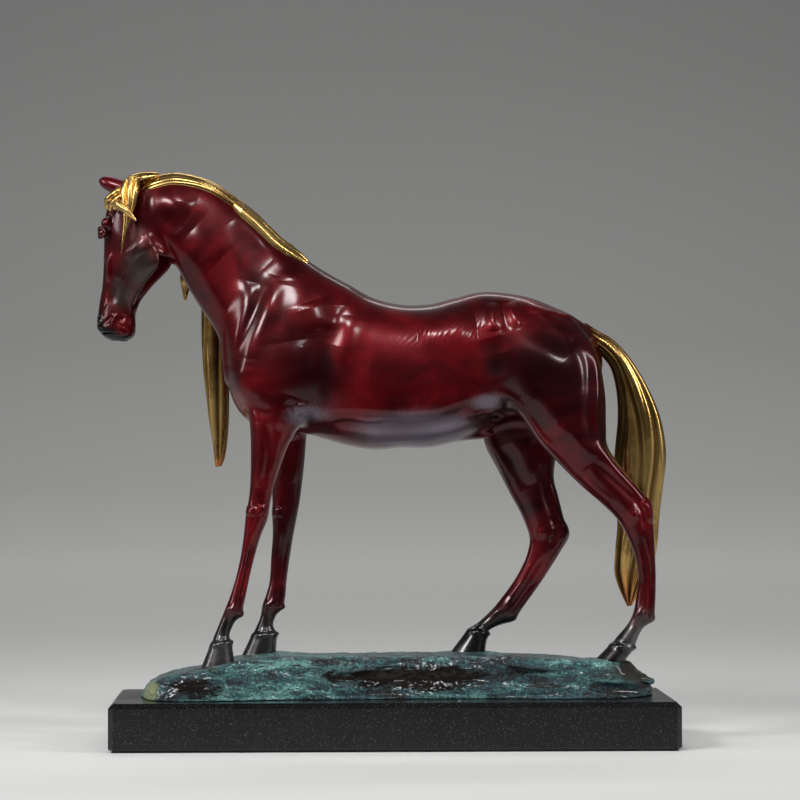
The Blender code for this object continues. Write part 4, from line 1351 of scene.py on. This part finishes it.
def rock_slab(points):
    """The long tilted plate that ends in a point at the right."""
    start, end = np.array((72.0, -22.0, 51.0)), np.array((158.0, -12.0, 38.0))
    run = end - start
    length = np.linalg.norm(run)
    run = run / length
    offset = points - start
    along = offset @ run
    rest = offset - along[:, None] * run
    share = np.clip(along / length, 0, 1)
    wide = 13 - 8 * share ** 2
    high = 2.9 - 1.2 * share
    dent = 0.9 * smooth_noise(points * (0.3, 1, 1), 6, 71)
    flat = np.abs(rest[:, 1]) - wide
    thick = np.abs(rest[:, 2]) * 1.02 + dent - high
    ends = np.maximum(along - length, -along - 4)
    return blend_cut(blend_cut(flat, thick, 2.0), ends, 2.0)


ROCK_BOX = ((-158, -50, 27.5), (166, 48, 60))
# How far above the surface a point is tested, to find the hollows, where the finish makes the rock
# darker.
HOLLOW_PROBE = 1.6


def rock_piece(finish):
    points, quads = surface_net(rock_field, *ROCK_BOX, 0.72)
    points, normals = settled(rock_field, points)
    points[:, 2] = np.maximum(points[:, 2], ROCK_BASE)
    mesh = mesh_from(points * MM, quads)
    probe = in_chunks(rock_field, points + normals * HOLLOW_PROBE)
    open_air = np.clip(probe / HOLLOW_PROBE, 0, 1)
    store_grooves(mesh, 1 - open_air + 0.1 * smooth_noise(points, 3.4, 81, 2))
    turn_faces_out(mesh, keep_largest=True)
    mesh.shade_smooth()
    return link("rock", mesh, finish, "rock_ground")


# ---------------------------------------------------------------------------------------------
# Materials


class Finish:
    """A node material, with short calls that add nodes and link them."""

    def __init__(self, name):
        self.material = bpy.data.materials.new(name)
        self.material.use_nodes = True
        self.nodes = self.material.node_tree.nodes
        self.links = self.material.node_tree.links
        self.shader = self.nodes["Principled BSDF"]
        self.place = self.add("ShaderNodeTexCoord").outputs["Object"]

    def add(self, kind, **settings):
        node = self.nodes.new(kind)
        for name, value in settings.items():
            setattr(node, name, value)
        return node

    def feed(self, socket, value):
        if isinstance(value, bpy.types.NodeSocket):
            self.links.new(value, socket)
        elif isinstance(value, tuple) and len(value) == 3 and socket.type == "RGBA":
            socket.default_value = (*value, 1.0)
        else:
            socket.default_value = value

    def set(self, **inputs):
        for name, value in inputs.items():
            self.feed(self.shader.inputs[name.replace("_", " ")], value)

    def noise(self, scale, detail=4.0, rough=0.55, stretch=None, twist=0.0):
        node = self.add("ShaderNodeTexNoise")
        place = self.place
        if stretch is not None:
            mapping = self.add("ShaderNodeMapping")
            self.feed(mapping.inputs["Vector"], self.place)
            mapping.inputs["Scale"].default_value = stretch
            place = mapping.outputs["Vector"]
        self.feed(node.inputs["Vector"], place)
        self.feed(node.inputs["Scale"], scale)
        self.feed(node.inputs["Detail"], detail)
        self.feed(node.inputs["Roughness"], rough)
        self.feed(node.inputs["Distortion"], twist)
        return node.outputs["Fac"]

    def cells(self, scale, output="Distance"):
        node = self.add("ShaderNodeTexVoronoi")
        self.feed(node.inputs["Vector"], self.place)
        self.feed(node.inputs["Scale"], scale)
        return node.outputs[output]

    def ramp(self, value, *stops):
        """A colour ramp. A stop is (place, colour)."""
        node = self.add("ShaderNodeValToRGB")
        band = node.color_ramp
        while len(band.elements) < len(stops):
            band.elements.new(0.5)
        for element, (place, colour) in zip(band.elements, stops):
            element.position = place
            element.color = (*colour, 1.0)
        self.feed(node.inputs["Fac"], value)
        return node.outputs["Color"]

    def span(self, value, low, high, to_low=0.0, to_high=1.0):
        """Maps low..high to to_low..to_high, smoothly and clamped."""
        node = self.add("ShaderNodeMapRange", interpolation_type="SMOOTHSTEP")
        for socket, number in zip(node.inputs[:5], (value, low, high, to_low, to_high)):
            self.feed(socket, number)
        return node.outputs["Result"]

    def math(self, operation, first, second):
        node = self.add("ShaderNodeMath", operation=operation)
        self.feed(node.inputs[0], first)
        self.feed(node.inputs[1], second)
        return node.outputs[0]

    def plus(self, first, second):
        return self.math("ADD", first, second)

    def times(self, first, second):
        return self.math("MULTIPLY", first, second)

    def mix(self, share, first, second):
        node = self.add("ShaderNodeMix", data_type="RGBA")
        self.feed(node.inputs["Factor"], share)
        self.feed(node.inputs[6], first)
        self.feed(node.inputs[7], second)
        return node.outputs[2]

    def axis(self, name):
        node = self.add("ShaderNodeSeparateXYZ")
        self.feed(node.inputs[0], self.place)
        return node.outputs[name]

    def spot(self, centre, radii, soft=0.75):
        """1 inside an ellipsoid given in millimetres, easing to 0 at its skin."""
        shift = self.add("ShaderNodeVectorMath", operation="SUBTRACT")
        self.feed(shift.inputs[0], self.place)
        shift.inputs[1].default_value = tuple(value * MM for value in centre)
        scale = self.add("ShaderNodeVectorMath", operation="DIVIDE")
        self.feed(scale.inputs[0], shift.outputs[0])
        scale.inputs[1].default_value = tuple(value * MM for value in radii)
        length = self.add("ShaderNodeVectorMath", operation="LENGTH")
        self.feed(length.inputs[0], scale.outputs[0])
        return self.span(length.outputs["Value"], 1.0, 1.0 - soft)

    def most(self, *values):
        result = values[0]
        for value in values[1:]:
            result = self.math("MAXIMUM", result, value)
        return result

    def attribute(self, name):
        return self.add("ShaderNodeAttribute", attribute_name=name).outputs["Fac"]

    def bump(self, height, strength, distance=0.0005):
        node = self.add("ShaderNodeBump")
        self.feed(node.inputs["Strength"], strength)
        self.feed(node.inputs["Distance"], distance)
        self.feed(node.inputs["Height"], height)
        return node.outputs["Normal"]


def head_spot(finish, centre, radii, soft=0.75):
    """A spot given where it lies on the head before its turn, on the near side."""
    return finish.spot(tuple(from_head_space([centre])[0]), radii, soft)


DEEP_RED = (0.013, 0.0003, 0.0007)
BODY_RED = (0.062, 0.0010, 0.0030)
BRIGHT_RED = (0.170, 0.0028, 0.0066)
BLOOM_AND_SHEEN = (0.165, 0.140, 0.180)
CHEEK_HIGHLIGHT_ROSE = (0.200, 0.080, 0.082)
OLIVE_GREY = (0.038, 0.027, 0.022)
GUN_METAL = (0.135, 0.128, 0.128)
BLACKENED = (0.006, 0.005, 0.005)


def red_mottling_and_painted_light(made, broad):
    """The red mottling, with painted light: painted highlights where it is brighter on the barrel, the
    legs, the neck's base and the face, and painted shade where it is deeper on the shoulder, the thigh
    and the off legs.
    """
    red = made.ramp(broad, (0.30, DEEP_RED), (0.50, BODY_RED), (0.72, BRIGHT_RED))
    # Painted highlights: spots where the red is brighter because light falls there.
    painted_highlight = made.most(
        made.spot((-74, -18, 185), (26, 22, 62)),
        made.spot((5, -30, 246), (58, 26, 26)),
        made.spot((-100, -12, 250), (20, 20, 42)),
        made.spot((-12, -28, 216), (26, 20, 18)),
        made.spot((-176, 0, 290), (10, 18, 26)),
    )
    red = made.mix(made.times(painted_highlight, 0.42), red, BRIGHT_RED)
    # Painted shade: spots where the red is darker because they face away from the light or lie on the
    # off side.
    painted_shade = made.most(
        made.spot((-58, -26, 232), (34, 24, 44)),
        made.spot((92, -24, 222), (48, 24, 44)),
        made.spot((-84, -20, 272), (16, 20, 34)),
        made.spot((92, 26, 170), (40, 20, 60)),
        made.spot((-62, 20, 150), (20, 14, 60)),
    )
    return made.mix(made.times(painted_shade, 0.75), red, DEEP_RED)


def belly_bloom_and_sheen(made, edge):
    """How much of the grey bloom under the belly shows, with a speckled edge: partly a real bloom,
    partly a painted reflection on the underside and at the elbow.
    """
    grey = made.most(
        made.spot((14, -20, 190), (62, 32, 24), 0.95),
        made.times(made.spot((58, -28, 207), (22, 20, 10), 0.95), 0.7),
        made.times(made.spot((-52, -28, 199), (26, 20, 13), 0.95), 0.7),
    )
    return made.span(made.plus(grey, made.times(edge, 0.36)), 0.64, 1.25)


def head_patina_and_painted_light(made, colour, edge):
    """Adds a painted highlight in pale rose on the cheek, the olive grey of the jaw and the throat, and
    a faint painted reflection in olive grey on the neck.
    """
    # Painted highlight: the cheek's pale rose stands for light falling on it.
    cheek = head_spot(made, (2, -14, 309), (13, 10, 15), 0.95)
    cheek = made.span(made.plus(cheek, made.times(edge, 0.25)), 0.65, 1.4)
    colour = made.mix(cheek, colour, CHEEK_HIGHLIGHT_ROSE)
    olive = made.most(
        head_spot(made, (2, -10, 290), (30, 20, 27), 0.95),
        head_spot(made, (-14, -9, 274), (18, 14, 20), 0.95),
        # The neck's spot is a faint painted reflection of the grey surroundings, not patina.
        made.times(made.spot((-118, -16, 312), (22, 14, 18), 0.95), 0.25),
    )
    olive = made.span(made.plus(olive, made.times(edge, 0.25)), 0.55, 1.4)
    return made.mix(olive, colour, OLIVE_GREY)


def blackened_head(made):
    """Where the muzzle, the lips, the chin and the eye are blackened."""
    return made.most(
        head_spot(made, (-34, -5, 256), (7.5, 16, 11), 0.5),
        head_spot(made, (-27, -5, 248), (14, 16, 9), 0.5),
        head_spot(made, (-16, -3, 245), (14, 14, 6.5), 0.5),
        head_spot(made, (-27, -13.5, 306.6), (5, 4, 2.8), 0.5),
    )


# The hooves' dark metal ends between these heights, in metres.
HOOF_TOP, HOOF_FULL = 0.094, 0.074


def red_finish():
    """Red patina over bronze, waxed: mottled, with painted highlights and painted shade, blackened at
    the hooves and muzzle, with blooms that are partly a painted reflection, a painted highlight on the
    cheek and a faint painted reflection on the neck.
    """
    made = Finish("red_patina_bronze")
    broad = made.noise(24, 5, 0.6, twist=0.6)
    speckle = made.noise(850, 3, 0.6)
    fine = made.noise(1700, 2, 0.6)
    edge = made.plus(broad, made.plus(speckle, made.times(fine, 0.7)))
    # Random red mottling with painted highlights and painted shade.
    red = red_mottling_and_painted_light(made, broad)
    red = made.mix(made.span(speckle, 0.52, 0.66, 0.0, 0.35), red, DEEP_RED)
    # The grey bloom is partly a painted reflection.
    grey = belly_bloom_and_sheen(made, edge)
    colour = made.mix(made.times(grey, 0.85), red, BLOOM_AND_SHEEN)
    # Adds the jaw's olive patina, a painted highlight on the cheek and a painted reflection on the
    # neck.
    colour = head_patina_and_painted_light(made, colour, edge)
    ragged = made.plus(made.axis("Z"), made.times(broad, 0.014))
    hoof = made.span(ragged, HOOF_TOP, HOOF_FULL)
    worn = made.ramp(broad, (0.35, BLACKENED), (0.7, GUN_METAL))
    colour = made.mix(hoof, colour, worn)
    colour = made.mix(blackened_head(made), colour, BLACKENED)
    fold = made.attribute(GROOVE)
    colour = made.mix(made.span(fold, 0.3, 2.2, 0.0, 0.65), colour, BLACKENED)
    rough = made.plus(made.span(broad, 0.3, 0.7, 0.30, 0.42),
                      made.span(speckle, 0.3, 0.7, -0.03, 0.05))
    rough = made.plus(rough, made.times(grey, 0.12))
    metal = made.most(made.span(grey, 0.0, 1.0, 0.55, 0.30), made.times(hoof, 0.95))
    ripple = made.plus(made.times(made.noise(110, 3, 0.5), 0.7), made.times(speckle, 0.10))
    made.set(Base_Color=colour, Roughness=rough, Metallic=metal, Specular_IOR_Level=0.12,
             Coat_Weight=0.6, Coat_Roughness=0.17, Coat_IOR=1.45,
             Normal=made.bump(ripple, 0.28, 0.0008))
    return made.material


GOLD = (0.50, 0.29, 0.085)
PALE_GOLD = (0.74, 0.49, 0.170)
BROWN_GOLD = (0.085, 0.048, 0.014)
ROOT_BROWN = (0.050, 0.010, 0.005)
COPPER = (0.42, 0.10, 0.03)


def gold_finish():
    """Polished bronze hair, browned in the furrows, with copper tints on its ends, which round the
    tail's root are a painted highlight.
    """
    made = Finish("gold_bronze")
    broad = made.noise(34, 4, 0.55)
    grain = made.noise(1200, 3, 0.6)
    gold = made.ramp(broad, (0.32, GOLD), (0.62, PALE_GOLD))
    # Copper: a tint on the tress's and the tail's ends, and a painted highlight on the edge of the
    # tail's root.
    copper_and_highlight = made.most(
        made.spot((-106, 24, 168), (16, 12, 18), 0.9),
        made.spot((134, 0, 252), (30, 14, 10), 0.9),
        made.spot((148, 4, 92), (20, 14, 30), 0.6),
        made.times(made.spot((122, 0, 250), (16, 12, 12)), 0.9),
    )
    copper_and_highlight = made.times(made.times(copper_and_highlight, made.span(broad, 0.30, 0.58)), 0.8)
    gold = made.mix(copper_and_highlight, gold, COPPER)
    root = made.spot((114, 0, 254), (24, 18, 15), 0.7)
    gold = made.mix(root, gold, ROOT_BROWN)
    furrow = made.span(made.attribute(GROOVE), 0.10, 1.15)
    stain = made.times(furrow, 0.92)
    gold = made.mix(stain, gold, BROWN_GOLD)
    rough = made.plus(made.span(broad, 0.3, 0.7, 0.20, 0.30), made.times(furrow, 0.2))
    pits = made.plus(made.times(made.noise(260, 4, 0.6), 0.8), made.times(grain, 0.2))
    made.set(Base_Color=gold, Roughness=rough, Metallic=1.0, Normal=made.bump(pits, 0.25, 0.0005))
    return made.material


TEAL = (0.040, 0.150, 0.150)
TURQUOISE = (0.22, 0.50, 0.46)
SLATE_BLUE = (0.030, 0.070, 0.095)
BROWN_BLACK = (0.010, 0.0065, 0.005)
VERDIGRIS_DUST = (0.34, 0.38, 0.19)
LEDGE_BRONZE = (0.050, 0.046, 0.036)


def rock_finish():
    """Green and blue patina brushed over dark bronze, worn back on the ledges."""
    made = Finish("rock_patina_bronze")
    streaks = made.noise(30, 6, 0.68, stretch=(0.7, 1.0, 2.6), twist=0.7)
    clouds = made.noise(95, 6, 0.74, stretch=(0.75, 1.0, 1.8), twist=0.4)
    grit = made.noise(640, 5, 0.8)
    tone = made.plus(made.times(streaks, 0.62), made.times(clouds, 0.38))
    colour = made.ramp(tone, (0.42, BROWN_BLACK), (0.465, SLATE_BLUE), (0.515, TEAL), (0.58, TURQUOISE))
    colour = made.mix(made.span(grit, 0.50, 0.58, 0.0, 0.85), colour, BROWN_BLACK)
    colour = made.mix(made.span(grit, 0.43, 0.35, 0.0, 0.7), colour, TURQUOISE)
    bare = made.most(
        made.spot((16, -34, 42), (96, 34, 15), 1.0),
        made.spot((-122, -46, 38), (34, 20, 12), 1.0),
        made.spot((-108, -28, 46), (24, 20, 8), 1.0),
    )
    bare = made.plus(made.times(bare, 0.6), made.times(tone, 2.2))
    bare = made.span(bare, 1.30, 1.46)
    colour = made.mix(bare, colour, BROWN_BLACK)
    ledge = made.span(made.plus(made.spot((128, -14, 44), (44, 26, 13), 0.6),
                                made.times(clouds, 0.3)), 0.4, 0.9)
    colour = made.mix(ledge, colour, LEDGE_BRONZE)
    dust = made.span(made.plus(made.spot((-148, -28, 34), (19, 30, 15), 0.9),
                               made.times(grit, 1.8)), 1.35, 1.75)
    colour = made.mix(dust, colour, VERDIGRIS_DUST)
    low = made.span(made.attribute(GROOVE), 0.10, 0.55)
    colour = made.mix(made.times(low, 0.92), colour, BROWN_BLACK)
    rough = made.span(grit, 0.3, 0.7, 0.28, 0.55)
    metal = made.span(made.most(bare, ledge), 0.0, 1.0, 0.2, 0.8)
    lumps = made.plus(clouds, made.times(grit, 0.4))
    made.set(Base_Color=colour, Roughness=rough, Metallic=metal, Coat_Weight=0.5,
             Coat_Roughness=0.15, Normal=made.bump(lumps, 1.0, 0.0032))
    return made.material


GRANITE_DARK, GRANITE_PALE = (0.0022, 0.0022, 0.0025), (0.0055, 0.0055, 0.006)
DULL_GRAIN, SILVERY_GRAIN = (0.013, 0.013, 0.014), (0.26, 0.26, 0.27)
GRAINS_PER_METRE = 2600


def granite_finish():
    """Polished black granite with pale and silvery grains."""
    made = Finish("black_granite")
    grains = made.cells(GRAINS_PER_METRE)
    tone = made.cells(GRAINS_PER_METRE, output="Color")
    chip = made.add("ShaderNodeSeparateColor")
    made.feed(chip.inputs[0], tone)
    rare = made.span(chip.outputs[0], 0.90, 0.97)
    bright = made.times(rare, made.span(grains, 0.42, 0.2))
    dull = made.span(chip.outputs[1], 0.45, 0.95, 0.0, 1.0)
    cloud = made.noise(60, 4, 0.6)
    base = made.ramp(cloud, (0.3, GRANITE_DARK), (0.75, GRANITE_PALE))
    base = made.mix(made.times(dull, 0.5), base, DULL_GRAIN)
    base = made.mix(bright, base, SILVERY_GRAIN)
    smudge = made.noise(18, 3, 0.5)
    made.set(Base_Color=base, Roughness=made.span(smudge, 0.3, 0.7, 0.16, 0.26),
             Specular_IOR_Level=0.35, Normal=made.bump(grains, 0.04, 0.0002))
    return made.material


DULL_ZINC, BRIGHT_ZINC = (0.34, 0.34, 0.33), (0.56, 0.57, 0.58)
FELT_DARK, FELT_PALE = (0.008, 0.008, 0.009), (0.040, 0.040, 0.044)


def steel_finish():
    """Zinc-plated steel with faint turning lines and dulled patches."""
    made = Finish("zinc_steel")
    turning = made.noise(300, 2, 0.5, stretch=(1, 1, 12))
    patches = made.noise(180, 4, 0.6)
    colour = made.ramp(patches, (0.35, DULL_ZINC), (0.7, BRIGHT_ZINC))
    made.set(Base_Color=colour, Metallic=1.0, Roughness=made.span(patches, 0.3, 0.7, 0.45, 0.28),
             Normal=made.bump(turning, 0.3, 0.0002))
    return made.material


def felt_finish():
    """Pressed black felt with short fibres."""
    made = Finish("black_felt")
    fibres = made.noise(2600, 3, 0.7, stretch=(1, 1.6, 1))
    colour = made.ramp(fibres, (0.35, FELT_DARK), (0.75, FELT_PALE))
    made.set(Base_Color=colour, Roughness=made.span(fibres, 0.3, 0.7, 0.88, 0.98),
             Sheen_Weight=0.3, Normal=made.bump(fibres, 0.6, 0.0004))
    return made.material


def carry_over(parts, finish):
    """CAD nodes whose names start or end like these keep their shape and get a better material."""
    for name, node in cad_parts.items():
        if name.startswith(parts) or name.endswith(parts):
            node.data.materials.clear()
            node.data.materials.append(finish)


# ---------------------------------------------------------------------------------------------
# Studio

CAMERA_PLACE = (-0.0566, -1.9448, 0.1813)
CAMERA_TURN = math.radians(-1.80)
CAMERA_RISE = math.radians(0.82)
CAMERA_ROLL = math.radians(0.06)
LENS = 143.4
MIDDLE = Vector((0.0, 0.0, 0.18))


def add_camera():
    data = bpy.data.cameras.new("camera")
    data.lens = LENS
    data.sensor_width = 36
    data.clip_start = 0.02
    data.clip_end = 20
    camera = bpy.data.objects.new("camera", data)
    turn = (Matrix.Rotation(CAMERA_TURN, 4, "Z") @ Matrix.Rotation(CAMERA_RISE, 4, "X")
            @ Matrix.Rotation(CAMERA_ROLL, 4, "Y"))
    upright = Matrix.Rotation(math.radians(90), 4, "X")
    camera.matrix_world = Matrix.Translation(CAMERA_PLACE) @ turn @ upright
    bpy.context.scene.collection.objects.link(camera)
    bpy.context.scene.camera = camera


def add_soft_box(name, place, size, power, spread, aim=MIDDLE):
    data = bpy.data.lights.new(name, "AREA")
    data.shape = "RECTANGLE"
    data.size, data.size_y = size
    data.energy = power
    data.spread = math.radians(spread)
    made = bpy.data.objects.new(name, data)
    made.location = place
    made.rotation_euler = (Vector(place) - aim).to_track_quat("Z", "Y").to_euler()
    bpy.context.scene.collection.objects.link(made)


PALE_PAPER = (0.80, 0.80, 0.79)
DARK_FLOOR = (0.05, 0.05, 0.05)
PAPER_IN_PAINTED_SHADE = (0.62, 0.62, 0.61)
# The wall's colours over its height in metres, darker upwards: painted shade.
WALL_COLOURS_WITH_PAINTED_SHADE = ((0.0, PAPER_IN_PAINTED_SHADE), (0.12, (0.46, 0.46, 0.452)), (0.34, (0.35, 0.35, 0.344)),
                (1.0, (0.26, 0.26, 0.256)))
# The backdrop, in metres: half its width, its front edge, where it starts to curve up, the curve's
# radius and its top.
WIDE, FRONT, BACK, RADIUS, HIGH = 4.0, -3.0, 2.2, 0.9, 3.2
CURVE_STEPS = 12


def backdrop_mesh():
    profile = [(FRONT, 0.0)]
    for step in range(CURVE_STEPS + 1):
        angle = math.radians(90 * step / CURVE_STEPS)
        profile.append((BACK + RADIUS * math.sin(angle), RADIUS * (1 - math.cos(angle))))
    profile.append((BACK + RADIUS, HIGH))
    points = [(x, y, z) for y, z in profile for x in (-WIDE, WIDE)]
    faces = [(a, a + 1, a + 3, a + 2) for a in range(0, 2 * len(profile) - 2, 2)]
    mesh = bpy.data.meshes.new("floor")
    mesh.from_pydata(points, [], faces)
    mesh.shade_smooth()
    return mesh


def backdrop_finish():
    made = Finish("floor_with_painted_shade")
    depth = made.axis("Y")
    rise = made.axis("Z")
    # Painted shade: the floor grows darker towards the back, where less light falls.
    floor = made.ramp(made.span(depth, -0.3, 2.2), (0.0, PALE_PAPER), (1.0, PAPER_IN_PAINTED_SHADE))
    floor = made.mix(made.span(depth, -0.36, -0.46), floor, DARK_FLOOR)
    # Painted shade: the wall grows darker upwards.
    wall = made.ramp(rise, *WALL_COLOURS_WITH_PAINTED_SHADE)
    colour = made.mix(made.span(rise, 0.0, 0.05), floor, wall)
    made.set(Base_Color=colour, Roughness=0.7)
    return made.material


def add_stage():
    """A pale floor that curves up into a grey wall, with painted shade that darkens the floor towards
    the back and the wall upwards, and dark ground before it, out of sight.
    """
    mesh = backdrop_mesh()
    mesh.materials.append(backdrop_finish())
    floor_object = bpy.data.objects.new("floor", mesh)
    bpy.context.scene.collection.objects.link(floor_object)


# Soft boxes with honeycomb grids, so that the floor before the statue stays dim: place and size in
# metres, power in watts. The grid's opening is in degrees.
GRID = 70
SOFT_BOXES = (
    ("key_box", (-1.12, -1.20, 1.15), (0.56, 0.40), 3.1),
    ("neck_box", (0.62, -1.47, 1.29), (0.18, 0.26), 0.65),
    ("loin_box", (-0.17, -1.24, 1.68), (0.34, 0.22), 1.5),
    ("left_box", (-1.7, -0.3, 0.75), (0.3, 0.8), 1.1),
    ("right_box", (1.6, -0.7, 1.0), (0.2, 0.9), 2.0),
)
WALL_BOX = ("wall_box", (0.0, 1.9, 2.6), (2.4, 0.5), 38, 180)
WALL_AIM = Vector((0.0, 3.1, 0.35))
WORLD_GREY = (0.80, 0.80, 0.80, 1.0)
WORLD_STRENGTH = 0.08


def add_lights():
    for box in SOFT_BOXES:
        add_soft_box(*box, GRID)
    add_soft_box(*WALL_BOX, aim=WALL_AIM)
    world = bpy.context.scene.world or bpy.data.worlds.new("world")
    bpy.context.scene.world = world
    world.use_nodes = True
    background = world.node_tree.nodes["Background"]
    background.inputs["Color"].default_value = WORLD_GREY
    background.inputs["Strength"].default_value = WORLD_STRENGTH


# ---------------------------------------------------------------------------------------------
# The model


def ear_field(rows, hollow):
    """An ear with its hollow, both given as they lie on the head before it turns."""
    form, inner = Sweep(rows), Sweep(hollow)

    def field(points):
        seen = head_space(points)
        return carve(form.field(seen), inner.field(seen), 0.8)
    return field


EAR_NEAR_HOLLOW = (
    (-12, 338, -10, 341.4, -4.6, 1.2),
    (-18, 340.4, -16.4, 344, -5.4, 1.5),
    (-23.2, 343, -22.4, 345, -7.4, 0.9),
)
EAR_OFF_HOLLOW = (
    (-14, 333, -9, 334, 9, 1.6),
    (-14, 340, -9, 340.5, 10.5, 2.6),
    (-11.2, 344.6, -7.5, 344.4, 12, 1.8),
)

# Each casting: name, the box it is meshed in, the grid's step, its cuts, the CAD node.
CASTINGS = (
    ("head_casting", (-190, -16, 238), (-124, 46, 352), 0.45, ((HEAD_CUT, 1, 0),), "head"),
    ("neck_casting", (-165, -34, 198), (-40, 38, 350), 0.62,
     ((HEAD_CUT, -1, 0), (NECK_CUT, 1, 0)), "neck"),
    ("torso_casting", (-106, -40, 160), (134, 40, 304), 0.72,
     ((NECK_CUT, -1, 0), (FORE_CUT, -1, 0), (NEAR_HIND_CUT, -1, -1), (OFF_HIND_CUT, -1, 1)),
     "torso"),
    ("near_fore_casting", (-124, -36, 42), (-40, -1, 205), 0.45, ((FORE_CUT, 1, 0),),
     "near_fore_leg"),
    ("off_fore_casting", (-100, 1, 42), (-40, 36, 205), 0.45, ((FORE_CUT, 1, 0),),
     "off_fore_leg"),
    ("near_hind_casting", (88, -36, 44), (166, -1, 192), 0.45, ((NEAR_HIND_CUT, 1, 0),),
     "near_hind_leg"),
    ("off_hind_casting", (30, 1, 46), (116, 36, 192), 0.45, ((OFF_HIND_CUT, 1, 0),),
     "off_hind_leg"),
)


def add_horse(red):
    for name, low, high, step, cuts, node in CASTINGS:
        casting(name, horse_field, low, high, step, cuts, red, node)
    casting("near_ear", ear_field(EAR_NEAR, EAR_NEAR_HOLLOW), (-190, -14, 326), (-152, 24, 350),
            0.3, (), red, "ear_near")
    casting("off_ear", ear_field(EAR_OFF, EAR_OFF_HOLLOW), (-172, 2, 328), (-138, 32, 352),
            0.3, (), red, "ear_off")


def add_hair(gold):
    hair_piece("mane_locks", mane_locks(), gold, "mane")
    hair_piece("forelock_locks", forelock_locks(), gold, "forelock")
    tress = lock(TRESS, 41, 240, 120, (6, 1.5, 0.055), (9, 0.15, 0.03), twist=0.12)
    hair_piece("tress", [tress], gold, "chest_tress")
    tail = lock(TAIL, 47, 420, 220, (9, 2.8, 0.024), (16, 0.5, 0.012), twist=-0.04)
    hair_piece("tail_hair", [tail], gold, "tail")


bpy.context.scene.view_settings.view_transform = "Standard"
for startup in ("Cube", "Light", "Camera"):
    if startup in bpy.data.objects:
        bpy.data.objects.remove(bpy.data.objects[startup])
red_bronze = red_finish()
add_horse(red_bronze)
add_hair(gold_finish())
rock_piece(rock_finish())
carry_over(("plinth_slab",), granite_finish())
carry_over(("felt_sheet",), felt_finish())
carry_over(("plinth_bolt", "_stud", "_stud_nut", "_stud_washer"), steel_finish())
add_stage()
add_lights()
add_camera()
